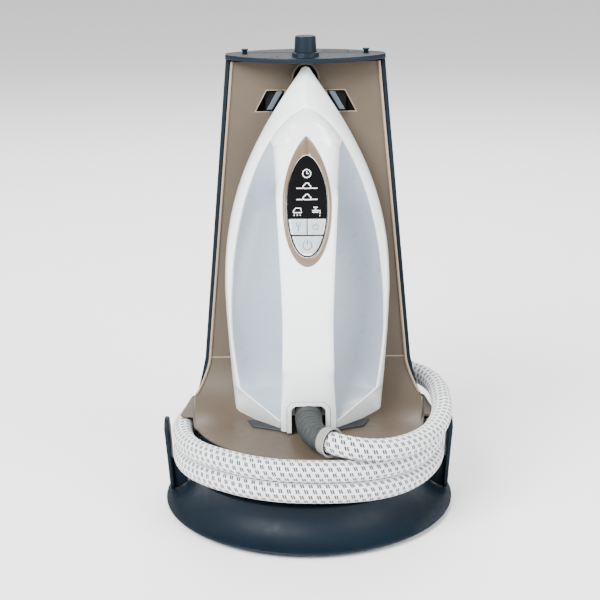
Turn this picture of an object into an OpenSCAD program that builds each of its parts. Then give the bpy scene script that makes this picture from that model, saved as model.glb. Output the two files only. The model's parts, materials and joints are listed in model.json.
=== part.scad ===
// Steam-generator clothes iron parked upright on its round station.
// Frame: origin on the floor at the centre of the round base, +Z up, -Y towards the user, +X to the right.
// The leaning dock has its own frame: x sideways, s up along the panel, h out of the panel to the user.

/* [Station base] */
// Radius of the round base at its rim
base_r = 105; // [103:1:110]
// Radius of the drum that the hose is wound round
neck_r = 79; // [77:1:80]
// Height of the shelf that carries the hose
shelf_z = 31; // [30:0.5:31]
// Height of the deck that the heel of the iron stands on
deck_z = 64; // [62:1:66]
// Radius of the deck
deck_r = 83; // [82:1:84]
// Radius of the deck's two ears
ear_r = 95; // [94:1:96]

/* [Dock] */
// Lean of the dock back from the vertical, in degrees
lean = 12; // [10:1:14]
// Where the face of the dock panel meets the deck
plate_y = 14; // [12:1:16]
// Length of the dock panel up its slope
panel_l = 253; // [250:1:254]
// Half width of the dock panel at its top
panel_top_w = 54; // [52:1:56]
// Half width of the dock panel at the crease above the deck
panel_low_w = 72.5; // [70:0.5:74]
// Depth of the navy tray behind the panel
tray_d = 10; // [9:0.5:11]

/* [Iron] */
// Length of the iron from heel to tip
iron_l = 248.5; // [247:0.5:249]
// Half width of the iron where it is widest
iron_w = 59.5; // [58:0.5:61]
// Height of the top of the handle above the soleplate
peak_h = 98.5; // [95:0.5:105]
// Gap between the dock panel and the soleplate
iron_gap = 2.5; // [2.4:0.1:3]

/* [Hose] */
// Diameter of the braided steam hose
hose_d = 15; // [14:0.5:15]
// Radius of the middle of the hose's turns
wind_r = 91.5; // [91:0.5:92]

/* [Hidden] */
wall = 2.5;
panel_t = 2.5;
deck_t = 2;
crease_s = 38;
top_z = 313.5;
cover_t = 3.5;
peak_s = 112;
heel_h = 47.5;
nose_s = 218;
nose_h = 30.5;
ridge_w = 54.5;
sole_t = 5;
skirt_z = 8.2;
shell_t = 2.3;
notch_w = 12;
notch_s = 11;
liner_w = 15.5;
gap_s0 = 34;
gap_s1 = 160;
grip_t = 27;
knob_y = 50;
knob_r = 8;
boss_r = 9.8;
yoke_y = 70.8;
sweep_r = 46;
sweep_l = 37.2;
flare_r = base_r - 22;
post_r = neck_r - 5.5;
cover_top = top_z + cover_t;
seam_y = 75;
tank_r = 80;
tank_top_r = 83.7;
tank_top_y = 14.3;
pin_x = 44;
hose_r = hose_d / 2;
flap_y = 86;
post_angles = [30, 150, 210, 330];
drain_z = 46;
mains_z = 13.5;
port_y = 60;
gland_r = 8.9;
coil_low_z = shelf_z + 0.4 + hose_r;
// Line of the cord guard from inside the heel to its ring
guard_path = [[0, -24.8, 86.6], [0, -31, 83.6], [0, -39.5, 80.4], [0.2, -48, 78.2], [1, -57, 77],
    [3, -65.5, 76.4], [6.5, -73.5, 76.1], [11.5, -79.5, 76]];
// Route of the hose from the ring round to the right-hand side, where it lies on the ear of the deck
lead_path = [[14.6, -82, 76], [19.5, -85.3, 75.6], [26, -87.9, 75], [34, -89, 74], [43, -88, 72.8],
    [52.5, -84.3, 71.6], [62, -77.8, 70.6], [71, -69.5, 69.9], [79, -59.5, 69.5], [85.8, -48, 69.5],
    [91, -35, 70], [94.8, -20.5, 71], [96.6, -8, 72], [97, -2, 72.2], [97, 0, 72.2]];
// Route of the hose from there to where it drops into its first turn
tail_path = [[97, 0.3, 72.2], [97, 2, 72.2], [97.3, 13, 72.3], [97.2, 25, 72.5], [95.2, 38, 72.7],
    [91, 50.5, 72.8], [84.2, 62.5, 72.8], [74.8, 73.5, 72.5], [62.8, 82.8, 72], [48, 89.8, 71.4],
    [32, 94, 70.8], [15, 95.6, 70.2], [-2, 95, 69.8]];
// The last turn leaves the channel in an arc of this radius and goes into the gland
end_r = 50;
end_path = concat([for (a = [10:10:90])
    [wind_r - end_r + end_r * cos(a), port_y - end_r + end_r * sin(a), coil_low_z]],
    [[31, port_y, coil_low_z]]);

// ---- helpers ----

function clamp01(t) = min(1, max(0, t));
function ease(t) = let (c = clamp01(t)) c * c * (3 - 2 * c);
function unit(v) = v / norm(v);

module on_dock() translate([0, plate_y, deck_z]) rotate([90 - lean, 0, 0]) children();
module on_iron() on_dock() translate([0, 0, iron_gap]) children();
// A shape drawn in (s, h) and made solid across x
module across(width) rotate([90, 0, 90]) linear_extrude(height = width, center = true) children();
module pair() {
    children();
    mirror([1, 0, 0]) children();
}
// Everything below the heel plane, raised by lift, in the iron's frame
module below_heel(lift) translate([0, 0, -iron_gap]) rotate([lean, 0, 0])
    translate([-200, lift - 200, -200]) cube([400, 200, 400]);

// A closed solid through rings of points that turn anticlockwise, with flat caps on both ends
module skin(rings) {
    n = len(rings[0]);
    m = len(rings);
    polyhedron(
        points = [for (r = rings) for (p = r) p],
        faces = concat(
            [[for (i = [n - 1:-1:0]) i]],
            [[for (i = [0:n - 1]) (m - 1) * n + i]],
            [for (k = [0:m - 2]) for (i = [0:n - 1]) let (j = (i + 1) % n)
                [k * n + i, (k + 1) * n + j, (k + 1) * n + i]],
            [for (k = [0:m - 2]) for (i = [0:n - 1]) let (j = (i + 1) % n)
                [k * n + i, k * n + j, (k + 1) * n + j]]));
}
// A tube of radius r[i] along the path, whose cross-sections stand square to it
module tube(path, r, sides) {
    last = len(path) - 1;
    skin([for (i = [0:last])
        let (t = unit(path[min(i + 1, last)] - path[max(i - 1, 0)]),
            side = unit(cross([0, 0, 1], t)),
            up = cross(t, side))
        [for (k = [0:sides - 1], a = 360 * k / sides) path[i] - r[i] * (cos(a) * side - sin(a) * up)]]);
}

// ---- outline and section of the iron, in the iron's frame ----

function outline(s) = s < 90
    ? iron_w - 6.8 * pow((90 - s) / 90, 1.2)
    : let (u = min(1, (s - 90) / (iron_l + 4 - 90)), wedge = iron_w * pow(1 - pow(u, 2.35), 1.15), r = 5)
        s > iron_l - r ? min(wedge, sqrt(max(0, r * r - pow(s - iron_l + r, 2)))) : wedge;
function ridge_x(s) = s < 21 ? max(20.5, 48.6 - (21 - s) * 1.24)
    : s < 70 ? ridge_w - 6 * pow((70 - s) / 50, 1.6)
    : s < nose_s ? ridge_w * pow(1 - pow((s - 70) / (nose_s - 70), 2.25), 0.64) : 0;
function ridge_h(s) = s < -1.6 ? 47.4 + (s + 1.6) * 1.2276
    : s < 21 ? 42 + (21 - s) * 0.24
    : s < nose_s ? 42 - 11.5 * ease((s - 21) / (nose_s - 21))
    : 30.5 - 20.5 * pow((s - nose_s) / (iron_l - nose_s), 1.25);
function facet_x(s, z) = (37.3 + 0.6236 * s - 0.508 * z) / 0.594;
function wall_x(s, t) = ridge_x(s) + (outline(s) - ridge_x(s)) * pow(max(0, 1 - pow(t, 1.8)), 0.8);
function wall_z(s, t) = skirt_z + (ridge_h(s) - skirt_z) * t;
function scoop_deep(s) = max(0.4, 14 * ease((194 - s) / 50) * ease((s - 2) / 40),
    s < 21 ? ridge_h(s) - arch(s) + 12 : 0);
function scoop_z(s, q) = ridge_h(s) - 0.5 - scoop_deep(s) * (1 - pow(abs(q), 3));
function arch(s) = peak_h - (s < peak_s
    ? (peak_h - heel_h) * pow((peak_s - s) / 122, 1.6)
    : (peak_h - nose_h) * pow((s - peak_s) / (nose_s - peak_s), 2.5));
function strip_x(s) = 17.4 + 6.2 * pow(clamp01((s - 70) / 126), 1.4)
    + 2.2 * pow(clamp01((70 - s) / 70), 1.5);
function handle_x(s) = s < 150 ? strip_x(s)
    : max(0.5, min(ridge_x(s) - 1.4, strip_x(s) + 8 * ease((s - 190) / 12)));
// Half width of a panel that is pointed towards the tip and round towards the heel
function lens_x(s, s0, s1, w, low, high) = let (mid = 150) s < mid
    ? w * pow(max(0, 1 - pow((mid - s) / (mid - s0), 2)), low)
    : w * pow(max(0, 1 - pow((s - mid) / (s1 - mid), 2)), high);
function fascia_x(s) = lens_x(s, 116.4, 184, 13.5, 0.45, 0.55);

// Stations from s0 to s1 that crowd together towards s1
function stations(s0, s1, n) = [for (i = [0:n]) s0 + (s1 - s0) * sin(90 * i / n)];
function both_sides(right) = concat(right, [for (i = [len(right) - 1:-1:0]) [-right[i].x, right[i].y]]);
function plan(inset, s0, s1) = both_sides(
    [for (s = stations(s0, s1, 28)) [max(0.4, outline(s) - inset), s]]);
function even(s0, s1, n) = [for (i = [0:n]) s0 + (s1 - s0) * i / n];
function arch_band(low, high, s0, s1) = concat([for (s = even(s0, s1, 30)) [s, arch(s) + low]],
    [for (s = even(s1, s0, 30)) [s, arch(s) + high]]);
module lens(s0, s1, w, low, high) polygon(both_sides([for (k = [0:32])
    let (s = (s0 + s1) / 2 - (s1 - s0) / 2 * cos(180 * k / 32)) [lens_x(s, s0, s1, w, low, high), s]]));

// ---- station ----

module base_housing() color("darkslategray") difference() {
    union() {
        rotate_extrude($fn = 120) polygon(concat(
            [[base_r - 6, 2.6], [base_r, 2.6], [base_r, 5]],
            [for (a = [80:-10:0]) [base_r - 22 * cos(a), 28.5 - 23.5 * sin(a)]],
            [[flare_r + 6, 29.4], [flare_r + 6, shelf_z], [neck_r, shelf_z],
            [neck_r, deck_z - deck_t - 0.2],
                [neck_r - wall, deck_z - deck_t - 0.2], [neck_r - wall, 28.5]],
            [for (a = [0:10:70]) [base_r - 24.5 * cos(a), 28.5 - 26 * sin(a)]]));
        for (a = post_angles) rotate(a) translate([post_r, 0, 6]) cylinder(r = 4, h = 54, $fn = 32);
    }
    for (a = post_angles) rotate(a) translate([post_r, 0, 5]) cylinder(r = 1.3, h = 14, $fn = 24);
    translate([0, neck_r - 10, drain_z]) rotate([-90, 0, 0]) cylinder(r = 7.4, h = 20, $fn = 32);
    for (y = [port_y - 7, port_y]) translate([28, y, coil_low_z]) rotate([0, 90, 0])
        cylinder(r = gland_r + 0.3, h = 45, $fn = 40);
    translate([0, 70, mains_z]) rotate([-90, 0, 0]) cylinder(r = 5.6, h = 30, $fn = 32);
}
module base_plate() color("dimgray") difference() {
    translate([0, 0, 3]) cylinder(r = 92.3, h = 2.4, $fn = 96);
    for (a = post_angles) rotate(a) translate([post_r, 0, 2]) cylinder(r = 1.8, h = 5, $fn = 24);
    for (i = [-4:4]) translate([-16, 8 * i - 1.5, 2]) cube([32, 3, 5]);
}
module feet() color("black") for (a = [45:90:315]) rotate(a) translate([80, 0, 0])
    cylinder(r = 8, h = 2.9, $fn = 40);
module base_screws() color("silver") for (a = post_angles) rotate(a) translate([post_r, 0, 0]) {
    translate([0, 0, 1.2]) cylinder(r = 3, h = 1.7, $fn = 32);
    translate([0, 0, 2.8]) cylinder(r = 1.2, h = 13, $fn = 24);
}
// An upright blade that keeps the turns of hose from slipping off, on its web
module guard_blade() {
    hull() {
        translate([base_r - 4.5, 0, 12.3]) rotate([0, 90, 0])
            cylinder(r = 6, h = 3.4, center = true, $fn = 32);
        translate([base_r - 1.7, 0, 54]) rotate([0, 90, 0])
            cylinder(r = 9, h = 3.4, center = true, $fn = 32);
    }
    translate([0, 1.5, 0]) rotate([90, 0, 0]) linear_extrude(height = 3)
        polygon([[90, 11.9], [96, 7.7], [100, 6.6], [100.6, 30.6], [90, 30.6]]);
}
module guard_right() color("black") guard_blade();
module guard_left() color("black") mirror([1, 0, 0]) guard_blade();

module dock_panel() color("rosybrown") difference() {
    union() {
        translate([0, 0, deck_z - deck_t]) linear_extrude(height = deck_t) {
            circle(r = deck_r, $fn = 120);
            offset(r = 4, $fn = 48) offset(delta = -4) intersection() {
                circle(r = ear_r, $fn = 120);
                translate([-93.4, -1]) square([186.8, 44]);
            }
        }
        on_dock() translate([0, 0, -panel_t]) linear_extrude(height = panel_t) polygon(both_sides([
            [panel_low_w + 1, -0.4], [panel_low_w, crease_s], [panel_top_w, panel_l]]));
        on_dock() pair() side_bead();
        pair() panel_sweep();
        on_dock() linear_extrude(height = 9) difference() {
            hood(1.4);
            hood(0);
        }
    }
    on_dock() pair() translate([0, 0, -5]) linear_extrude(height = 10)
        polygon([[15, 232.2], [28.3, 232.2], [36.2, 217.4], [22, 217.4]]);
    on_inlet() translate([0, 0, -10]) cylinder(r = 10, h = 20, $fn = 40);
}
module side_bead() linear_extrude(height = 1.8) polygon([[panel_low_w - 3.4, crease_s],
    [panel_low_w, crease_s], [panel_top_w, panel_l], [panel_top_w - 3.4, panel_l]]);
// Arch round the tip of the iron, open at its lower end
module hood(more) polygon(both_sides([[9 + more, 241.5 - 2.5 * (1 - more)], [8.2 + more, 244.5],
    [3.6 + more, 250 + more * 0.7]]));
// The concave sweep from the panel down to the deck, beside the place of the iron
module panel_sweep() difference() {
    translate([57, 0, 0]) rotate([90, 0, 90]) linear_extrude(height = 36) difference() {
        polygon([[plate_y - sweep_l, deck_z - 0.5], [plate_y + 0.5, deck_z - 0.5],
            [plate_y + 0.5 + sweep_l * sin(lean), deck_z + sweep_l * cos(lean)],
            [plate_y - sweep_l, deck_z + 0.02]]);
        translate([plate_y - sweep_l, deck_z + sweep_r]) circle(r = sweep_r, $fn = 96);
    }
    translate([0, 0, 60]) linear_extrude(height = 60) difference() {
        translate([40, -60]) square([80, 120]);
        polygon([[0, -60], [82, -60], [82, -30], [83, -8], [82.8, 4], [80, 14],
            [77.5, 18], [74.5, 23], [0, 40]]);
    }
    on_dock() translate([0, 0, -20]) linear_extrude(height = 20.2) translate([0, 0.4]) square([100, 100]);
}
// Navy tray behind the panel: its rim shows as a stripe along both sides
module tower_tray() color("darkslategray") on_dock() {
    difference() {
        translate([0, 0, -tray_d]) linear_extrude(height = tray_d)
            polygon(both_sides([[83.5, -2], [82.5, 8],
            [80.5, 16], [78, 26], [panel_low_w + 3, crease_s], [panel_top_w + 3.6, panel_l + 4]]));
        translate([0, 0, -tray_d + 2]) linear_extrude(height = tray_d) polygon(both_sides([
            [panel_low_w + 1.4, -5], [panel_low_w + 0.4, crease_s], [panel_top_w + 0.4, panel_l + 5]]));
        rotate([lean, 0, 0]) translate([-100, top_z - deck_z - 0.3, -80]) cube([200, 30, 160]);
        rotate([lean, 0, 0]) translate([-100, -30, -80]) cube([200, 30.3, 160]);
    }
    // Seats of the two springs
    pair() translate([34, 236.2, -tray_d + 1.9]) cube([9, 2, 5]);
}
module cover_outline() intersection() {
    translate([0, 37 + 76]) circle(r = 76, $fn = 180);
    translate([-58, 30]) square([116, seam_y - 30]);
}
module top_cover() color("darkslategray") difference() {
    union() {
        translate([0, 0, top_z]) linear_extrude(height = cover_t) cover_outline();
        translate([0, knob_y, cover_top - 0.5]) cylinder(r = boss_r, h = 3.8, $fn = 48);
    }
    translate([0, knob_y, cover_top - 0.6]) cylinder(r = knob_r + 0.3, h = 20, $fn = 48);
    translate([0, knob_y, top_z - 5]) cylinder(r = 2.4, h = 20, $fn = 32);
    pair() translate([pin_x, yoke_y, top_z - 5]) cylinder(r = 2.2, h = 20, $fn = 32);
    // Pocket for the arm of the yoke
    translate([-4.5, knob_y - 4, top_z - 1]) cube([9, yoke_y - knob_y + 6.5, 3.1]);
    translate([-21, 50, top_z - 1]) cylinder(r = 1.1, h = 10, $fn = 24);
}
module tip_pad() color("black") on_dock() linear_extrude(height = 1.2) hood(-0.3);
module rest_pads() color("dimgray") on_dock() {
    pair() translate([30, 55, 0]) cylinder(r = 6, h = 2.2, $fn = 40);
    translate([0, 190, 0]) cylinder(r = 6, h = 2.2, $fn = 40);
}
module boiler() color("silver") translate([0, -14, 0]) {
    translate([0, 0, 10]) cylinder(r = 40, h = 36, $fn = 96);
    translate([0, 0, 45.9]) cylinder(r1 = 40, r2 = 30, h = 7, $fn = 96);
    for (a = [20:120:260]) rotate(a) translate([34, 0, 5.6]) cylinder(r = 3, h = 4.6, $fn = 24);
    translate([14, 10, 52]) cylinder(r = 4, h = 4, $fn = 32);
}
module boiler_heater() color("gray") translate([0, -14, 18]) rotate_extrude($fn = 96)
    translate([43.8, 0]) circle(r = 3.4, $fn = 24);
module pump() color("white") {
    translate([-40, 43, 5.6]) cylinder(r = 12, h = 28, $fn = 48);
    translate([-40, 43, 33.5]) cylinder(r = 5, h = 12, $fn = 32);
}
module steam_valve() color("goldenrod") {
    translate([40, 43, 5.6]) cylinder(r = 10, h = 24, $fn = 48);
    translate([40, 43, 29.5]) cylinder(r = 4, h = 10, $fn = 32);
}
module station_board() color("green") translate([-22, 62, 5.6]) cube([44, 1.6, 28]);
// The inlet and the tank's spigot lean as the dock does, because the tank lifts off along that line
module on_inlet() translate([0, 52, deck_z]) rotate([-lean, 0, 0]) children();
module water_inlet() color("ivory") on_inlet() difference() {
    union() {
        translate([0, 0, -10]) cylinder(r = 9.7, h = 9.6, $fn = 40);
        translate([0, 0, -16]) cylinder(r = 4, h = 6.1, $fn = 32);
    }
    translate([0, 0, -7]) cylinder(r = 7.2, h = 20, $fn = 40);
    translate([0, 0, -17]) cylinder(r = 2, h = 20, $fn = 24);
}
// Soft pipe from the inlet to the pump, and the steam pipe from the boiler to the valve
module water_line() color("lightgray") tube(
    [[0, 48.3, 47.7], [-0.6, 47.9, 45.2], [-3, 47.4, 43.4], [-9, 46.6, 43.4], [-22, 45, 47.5],
    [-31, 44, 51.6],
        [-37, 43.2, 52.5], [-39.6, 43, 49.7], [-40, 43, 46]], [for (i = [0:8]) 2.4], 10);
module steam_line() color("orange") tube(
    [[14.4, -3.6, 57.4], [16.5, -1.5, 58.8], [22, 8, 58.8], [30, 24, 55], [37, 37, 49],
    [39.6, 42, 44], [40, 43, 40]],
    [for (i = [0:6]) 1.5], 10);
module hose_gland() color("gray") translate([26, port_y, coil_low_z]) rotate([0, 90, 0]) difference() {
    cylinder(r = gland_r, h = 17, $fn = 40);
    translate([0, 0, -1]) cylinder(r = hose_r + 0.2, h = 30, $fn = 40);
}
module mains_gland() color("black") translate([0, 72, mains_z]) rotate([-90, 0, 0]) difference() {
    union() {
        cylinder(r = 8, h = 4, $fn = 32);
        translate([0, 0, 3.9]) cylinder(r = 5.2, h = 22, $fn = 32);
    }
    translate([0, 0, -2]) cylinder(r = 3.6, h = 40, $fn = 32);
}
module drain_cap() color("black") translate([0, neck_r - 8, drain_z]) rotate([-90, 0, 0]) {
    cylinder(r = 7, h = 10, $fn = 40);
    translate([-5.5, -1.2, 9.5]) cube([11, 2.4, 2]);
}

// ---- lock of the dock ----

module lock_knob() color("darkslategray") translate([0, knob_y, cover_top + 1.6])
    cylinder(r1 = knob_r, r2 = knob_r - 0.8, h = 13.4, $fn = 64);
module lock_yoke() color("gray") {
    translate([0, knob_y, top_z + 0.4]) cylinder(r = 2, h = cover_t + 1.2, $fn = 32);
    translate([-4, knob_y - 3.5, top_z + 0.4]) cube([8, yoke_y - knob_y + 5, 1.4]);
    translate([-4, yoke_y - 1.5, top_z - 7]) cube([8, 3, 8]);
    translate([-47, yoke_y - 1.5, top_z - 8]) cube([94, 3, 4]);
    translate([0, yoke_y + 1, 0]) rotate([90, 0, 0]) linear_extrude(height = 2.5)
        polygon([[-1, top_z - 13.4], [1, top_z - 13.4], [12, top_z - 7.9], [-12, top_z - 7.9]]);
    pair() translate([pin_x, yoke_y, top_z - 4.1]) {
        cylinder(r = 1.8, h = 10, $fn = 32);
        translate([0, 0, 9.9]) cylinder(r = 2.5, h = 1, $fn = 32);
    }
}
module lock_spring() color("silver") for (x = [-38.5, 38.5]) translate([x, yoke_y - 1.1, 296.6])
    tube([for (a = [0:40:1440]) [1.2 * cos(a), 1.2 * sin(a), 8.4 * a / 1440]],
        [for (a = [0:40:1440]) 0.35], 6);
// A clip is a block beside the edge of the soleplate, on a tongue behind the panel
module clip() {
    translate([0, 0, -6.4]) linear_extrude(height = 3)
        polygon([[2.4, 237], [13, 242.3], [24, 242.3], [29.6, 229], [29, 218.2], [22.4, 218.2],
            [15.6, 231], [2.4, 234]]);
    translate([0, 0, -4]) linear_extrude(height = 11)
        polygon([[16.4, 231.4], [20.8, 231.4], [28.4, 218.2], [24.2, 218.2]]);
}
module clip_right() color("slategray") on_dock() clip();
module clip_left() color("slategray") on_dock() mirror([1, 0, 0]) clip();

// ---- tank ----

tank_low_z = deck_z + 2.4;
tank_front = plate_y + (tray_d + 0.6) / cos(lean);
module tank_slice(shrink, z, r, cy) translate([0, 0, z]) linear_extrude(height = 0.2) difference() {
    translate([0, cy]) circle(r = r - shrink, $fn = 64);
    translate([-150, tank_front + (z - deck_z) * tan(lean) + shrink - 300]) square([300, 300]);
}
module tank_body(shrink, z0, z1) hull() {
    tank_slice(shrink, z0, tank_r, 0);
    tank_slice(shrink, z1, tank_top_r, tank_top_y);
}
module water_tank() color("lightsteelblue") difference() {
    tank_body(0, tank_low_z, top_z - 0.5);
    tank_body(2.2, tank_low_z + 2.4, top_z + 4);
    on_inlet() cylinder(r = 5, h = 12, $fn = 32);
}
module tank_lid() color("darkslategray") difference() {
    translate([0, 0, top_z]) linear_extrude(height = cover_t) difference() {
        translate([0, tank_top_y]) circle(r = tank_top_r, $fn = 120);
        translate([-150, seam_y + 0.4 - 300]) square([300, 300]);
    }
    translate([13, 79, top_z - 1]) linear_extrude(height = 10) square([19, 9]);
    on_flap() cylinder(r = 1, h = 22, center = true, $fn = 24);
}
// The flap turns on a pin along its back edge
module on_flap() translate([22.5, flap_y, top_z + 2.05]) rotate([0, 90, 0]) children();
module fill_flap() color("slategray") {
    translate([13.4, 79.4, top_z + 0.6]) cube([18.2, flap_y - 79.4, cover_t - 0.6]);
    on_flap() {
        cylinder(r = 1.45, h = 18.2, center = true, $fn = 32);
        cylinder(r = 0.7, h = 21, center = true, $fn = 24);
    }
}
module tank_valve() color("dimgray") on_inlet() {
    translate([0, 0, -5]) cylinder(r = 6.7, h = 5.2, $fn = 40);
    translate([0, 0, 0.1]) cylinder(r = 4.6, h = 8.6, $fn = 32);
}

// ---- iron ----

module soleplate() color("silver") on_iron() difference() {
    linear_extrude(height = sole_t) polygon(plan(2.2, 3, iron_l - 3));
    for (k = [0:9]) let (s = 222 - 15 * k) pair() translate([outline(s) * 0.62, s, -1])
        cylinder(r = 1.1, h = 4, $fn = 16);
    for (k = [0:3]) translate([0, 212 - 12 * k, -1]) cylinder(r = 1.1, h = 4, $fn = 16);
}
module chamber_lid() color("gainsboro") on_iron() translate([0, 0, sole_t + 0.1])
    linear_extrude(height = 2.6) polygon(plan(12, 14, iron_l - 22));
module sole_heater() color("gray") on_iron() translate([0, 60, 11.1]) {
    rotate_extrude(angle = -180, $fn = 64) translate([26, 0]) circle(r = 3, $fn = 24);
    pair() translate([26, 0, 0]) rotate([-90, 0, 0]) cylinder(r = 3, h = 84, $fn = 24);
}
module thermostat() color("ivory") on_iron() {
    translate([0, 96, 7.9]) cylinder(r = 9, h = 6, $fn = 40);
    translate([-4, 92, 13.8]) cube([8, 8, 2]);
}
module heat_shield() color("black") on_iron() translate([0, 0, sole_t + 0.1]) difference() {
    linear_extrude(height = 2.8) polygon(plan(1.2, 4, iron_l - 1.6));
    translate([0, 0, -1]) linear_extrude(height = 5) polygon(plan(11.6, 13.4, iron_l - 21));
}
wall_steps = [0, 0.2, 0.4, 0.58, 0.74, 0.87, 0.96, 1];
cross_steps = [1, 0.8, 0.6, 0.4, 0.2];
// Right half of the body's section at s: up the wall to the ridge, then in under the scoop.
// in is how far the section is drawn in from the outside.
function body_half(s, in) = concat(
    [for (t = wall_steps) let (z = wall_z(s, t))
        [max(4 - t, min(wall_x(s, t), facet_x(s, z)) - in), t == 0 ? z - in : z - in * t]],
    [for (q = cross_steps) [max(0.6 + 2.2 * q, q * (ridge_x(s) - 1.5 - in)),
        scoop_z(s, q) - in - (s > 20 && s < 194 ? 2.5 : 0.1 + q / 8)]]);
function body_ring(s, in) = [for (p = both_sides(body_half(s, in))) [p.x, s, p.y]];
scoop_s = concat([21.4, 26, 32, 40], even(50, 190, 14), [192]);
body_s = concat([-13, -7, -1.6, 4, 9, 14, 16, 21, 26, 32, 40], even(50, 190, 14),
    [193, 195, 203, 210, 216, 220, 225, 231, 237, 242, 246]);
module body_solid(in, last) skin([for (s = body_s) if (s <= last) body_ring(s, in)]);
module body_shell() color("white") on_iron() difference() {
    body_solid(0, 246);
    difference() {
        body_solid(shell_t, 210);
        below_heel(3.8);
    }
    below_heel(1.4);
    heel_channel(0.3);
    pipe_hole();
}
// The steam pipe goes down through the body here, between the heel's liner and the scoop panel
module pipe_hole() translate([0, 17.6, 22]) cylinder(r = 2.4, h = 22, $fn = 24);
module heel_channel(more) translate([-liner_w - more, -60, 18 - more])
    cube([2 * (liner_w + more), 60 + notch_s + 3.2 + more, 90]);
module scoop_panel() color("lightsteelblue") on_iron() skin([for (s = scoop_s) [for (p = concat(
    [for (q = [1:-0.2:-1]) [q * (ridge_x(s) - 1.8), scoop_z(s, q)]],
    [for (q = [-1:0.2:1]) [q * (ridge_x(s) - 1.8), scoop_z(s, q) - 1.9]])) [p.x, s, p.y]]]);
// The foot of the handle stands on the scoop panel
function foot_line(s) = ridge_h(s) - 0.1
    - scoop_deep(s) * (1 - pow(min(1, (handle_x(s) + 1) / ridge_x(s)), 3));
function under(s) = arch(s) - grip_t;
module handle_side(in) difference() {
    polygon(concat([for (s = even(-14, 216 - in, 40)) [s, arch(s) - in]],
        [for (s = even(216 - in, -14, 40)) [s, foot_line(s) + in]]));
    hand_gap(in);
}
module hand_gap(grow) polygon(concat(
    [for (s = even(gap_s0 - grow, gap_s1 + grow, 24)) let (e = min(s - gap_s0 + grow, gap_s1 + grow - s))
        [s, under(s) + grow - 9 * pow(1 - clamp01(e / 12), 2)]],
    [for (s = even(gap_s1 + grow, gap_s0 - grow, 8)) [s, foot_line(s) - 20]]));
module handle_plan(inset) linear_extrude(height = 130) polygon(both_sides(
    [for (s = even(-14, 216, 46)) [max(0.3, handle_x(s) - inset), s]]));
module handle_part(upper) difference() {
    intersection() {
        across(80) handle_side(0);
        handle_plan(0);
        parting(upper);
    }
    intersection() {
        across(80) handle_side(wall);
        handle_plan(wall);
    }
    below_heel(1.4);
    heel_channel(0.3);
}
module parting(upper) across(120) polygon(concat(
    [for (s = even(-20, 220, 30)) [s, arch(max(-14, s)) - (upper ? 13.9 : 14.1)]],
    upper ? [[220, 140], [-20, 140]] : [[220, -20], [-20, -20]]));
module handle_top() color("white") on_iron() difference() {
    handle_part(true);
    linear_extrude(height = 200) lens(115.9, 184.5, 13.9, 0.45, 0.55);
}
module handle_under() color("whitesmoke") on_iron() difference() {
    handle_part(false);
    translate([-6.4, 109.5, 55]) cube([12.8, 40.5, 24]);
    translate([0, 115, 73]) rotate([0, 90, 0]) cylinder(r = 1.5, h = 29.4, center = true, $fn = 24);
    pipe_hole();
    translate([0, 21, 42.8]) rotate([0, 90, 0]) cylinder(r = 7.5, h = 21, center = true, $fn = 40);
}
module heel_liner() color("white") difference() {
    on_iron() difference() {
        across(2 * liner_w) polygon(concat([for (s = even(-14, notch_s + 3.2, 12)) [s, arch(s)]],
            [[notch_s + 3.2, 18], [-14, 18]]));
        translate([-notch_w, -60, 20.5]) cube([2 * notch_w, 60 + notch_s, 120]);
        below_heel(1.4);
    }
    translate(guard_path[0]) rotate([113, 0, 0]) translate([0, 0, -6]) cylinder(r = 10.9, h = 36, $fn = 40);
}
module heel_pad() color("black") on_iron() difference() {
    translate([0, 0, -iron_gap]) rotate([lean, 0, 0]) translate([0, 1.3, 0]) rotate([90, 0, 0])
        linear_extrude(height = 0.9) polygon(both_sides([[49, 12], [48.4, 17], [39.5, 38.5], [14, 49.7]]));
    translate([-notch_w, -60, 20.5]) cube([2 * notch_w, 60 + notch_s, 120]);
}
module bezel() color("tan") on_iron() difference() {
    intersection() {
        across(60) polygon(arch_band(0.1, 1, 108, 200));
        linear_extrude(height = 200) lens(110, 197.5, 16.3, 0.5, 0.8);
    }
    linear_extrude(height = 200) lens(115.9, 184.5, 13.9, 0.45, 0.55);
}
module side_button(grow) linear_extrude(height = 200) polygon(concat(
    [[0.6 - grow, 141.4 + grow], [0.6 - grow, 131.9 - grow]],
    [for (s = even(131.9 - grow, 141.4 + grow, 6)) [fascia_x(s) - 1.2 + grow, s]]));
module power_button(grow) linear_extrude(height = 200) intersection() {
    lens(117.8 - grow, 184, 12 + grow, 0.45, 0.55);
    translate([-20, 100]) square([40, 30.2 + grow]);
}
module control_fascia() color("black") on_iron() difference() {
    intersection() {
        across(60) polygon(arch_band(-2.2, 0.7, 114, 186));
        linear_extrude(height = 200) lens(116.4, 184, 13.5, 0.45, 0.55);
    }
    pair() side_button(0.4);
    power_button(0.4);
}
module button_body() intersection() {
    across(60) polygon(arch_band(-4.6, 1.3, 114, 145));
    children();
}
module button_left() color("lightgray") on_iron() mirror([1, 0, 0]) button_body() side_button(0);
module button_right() color("lightgray") on_iron() button_body() side_button(0);
module button_power() color("lightgray") on_iron() button_body() power_button(0);
module button_mat() color("gray") on_iron() intersection() {
    across(21) polygon(arch_band(-6.8, -5.6, 117, 144));
    translate([-10.5, 100, 0]) cube([21, 100, 200]);
}
module control_board() color("green") on_iron() across(24) polygon(arch_band(-8.6, -7, 114, 176));
module steam_trigger() color("gray") on_iron() difference() {
    across(11.6) polygon([[111, 73], [118, 77], [146, 73], [149, 69], [148, 63], [143, 60], [136, 62.5],
        [126, 66.5], [112, 69]]);
    translate([0, 115, 73]) rotate([0, 90, 0]) cylinder(r = 1.3, h = 40, center = true, $fn = 24);
}
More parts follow.
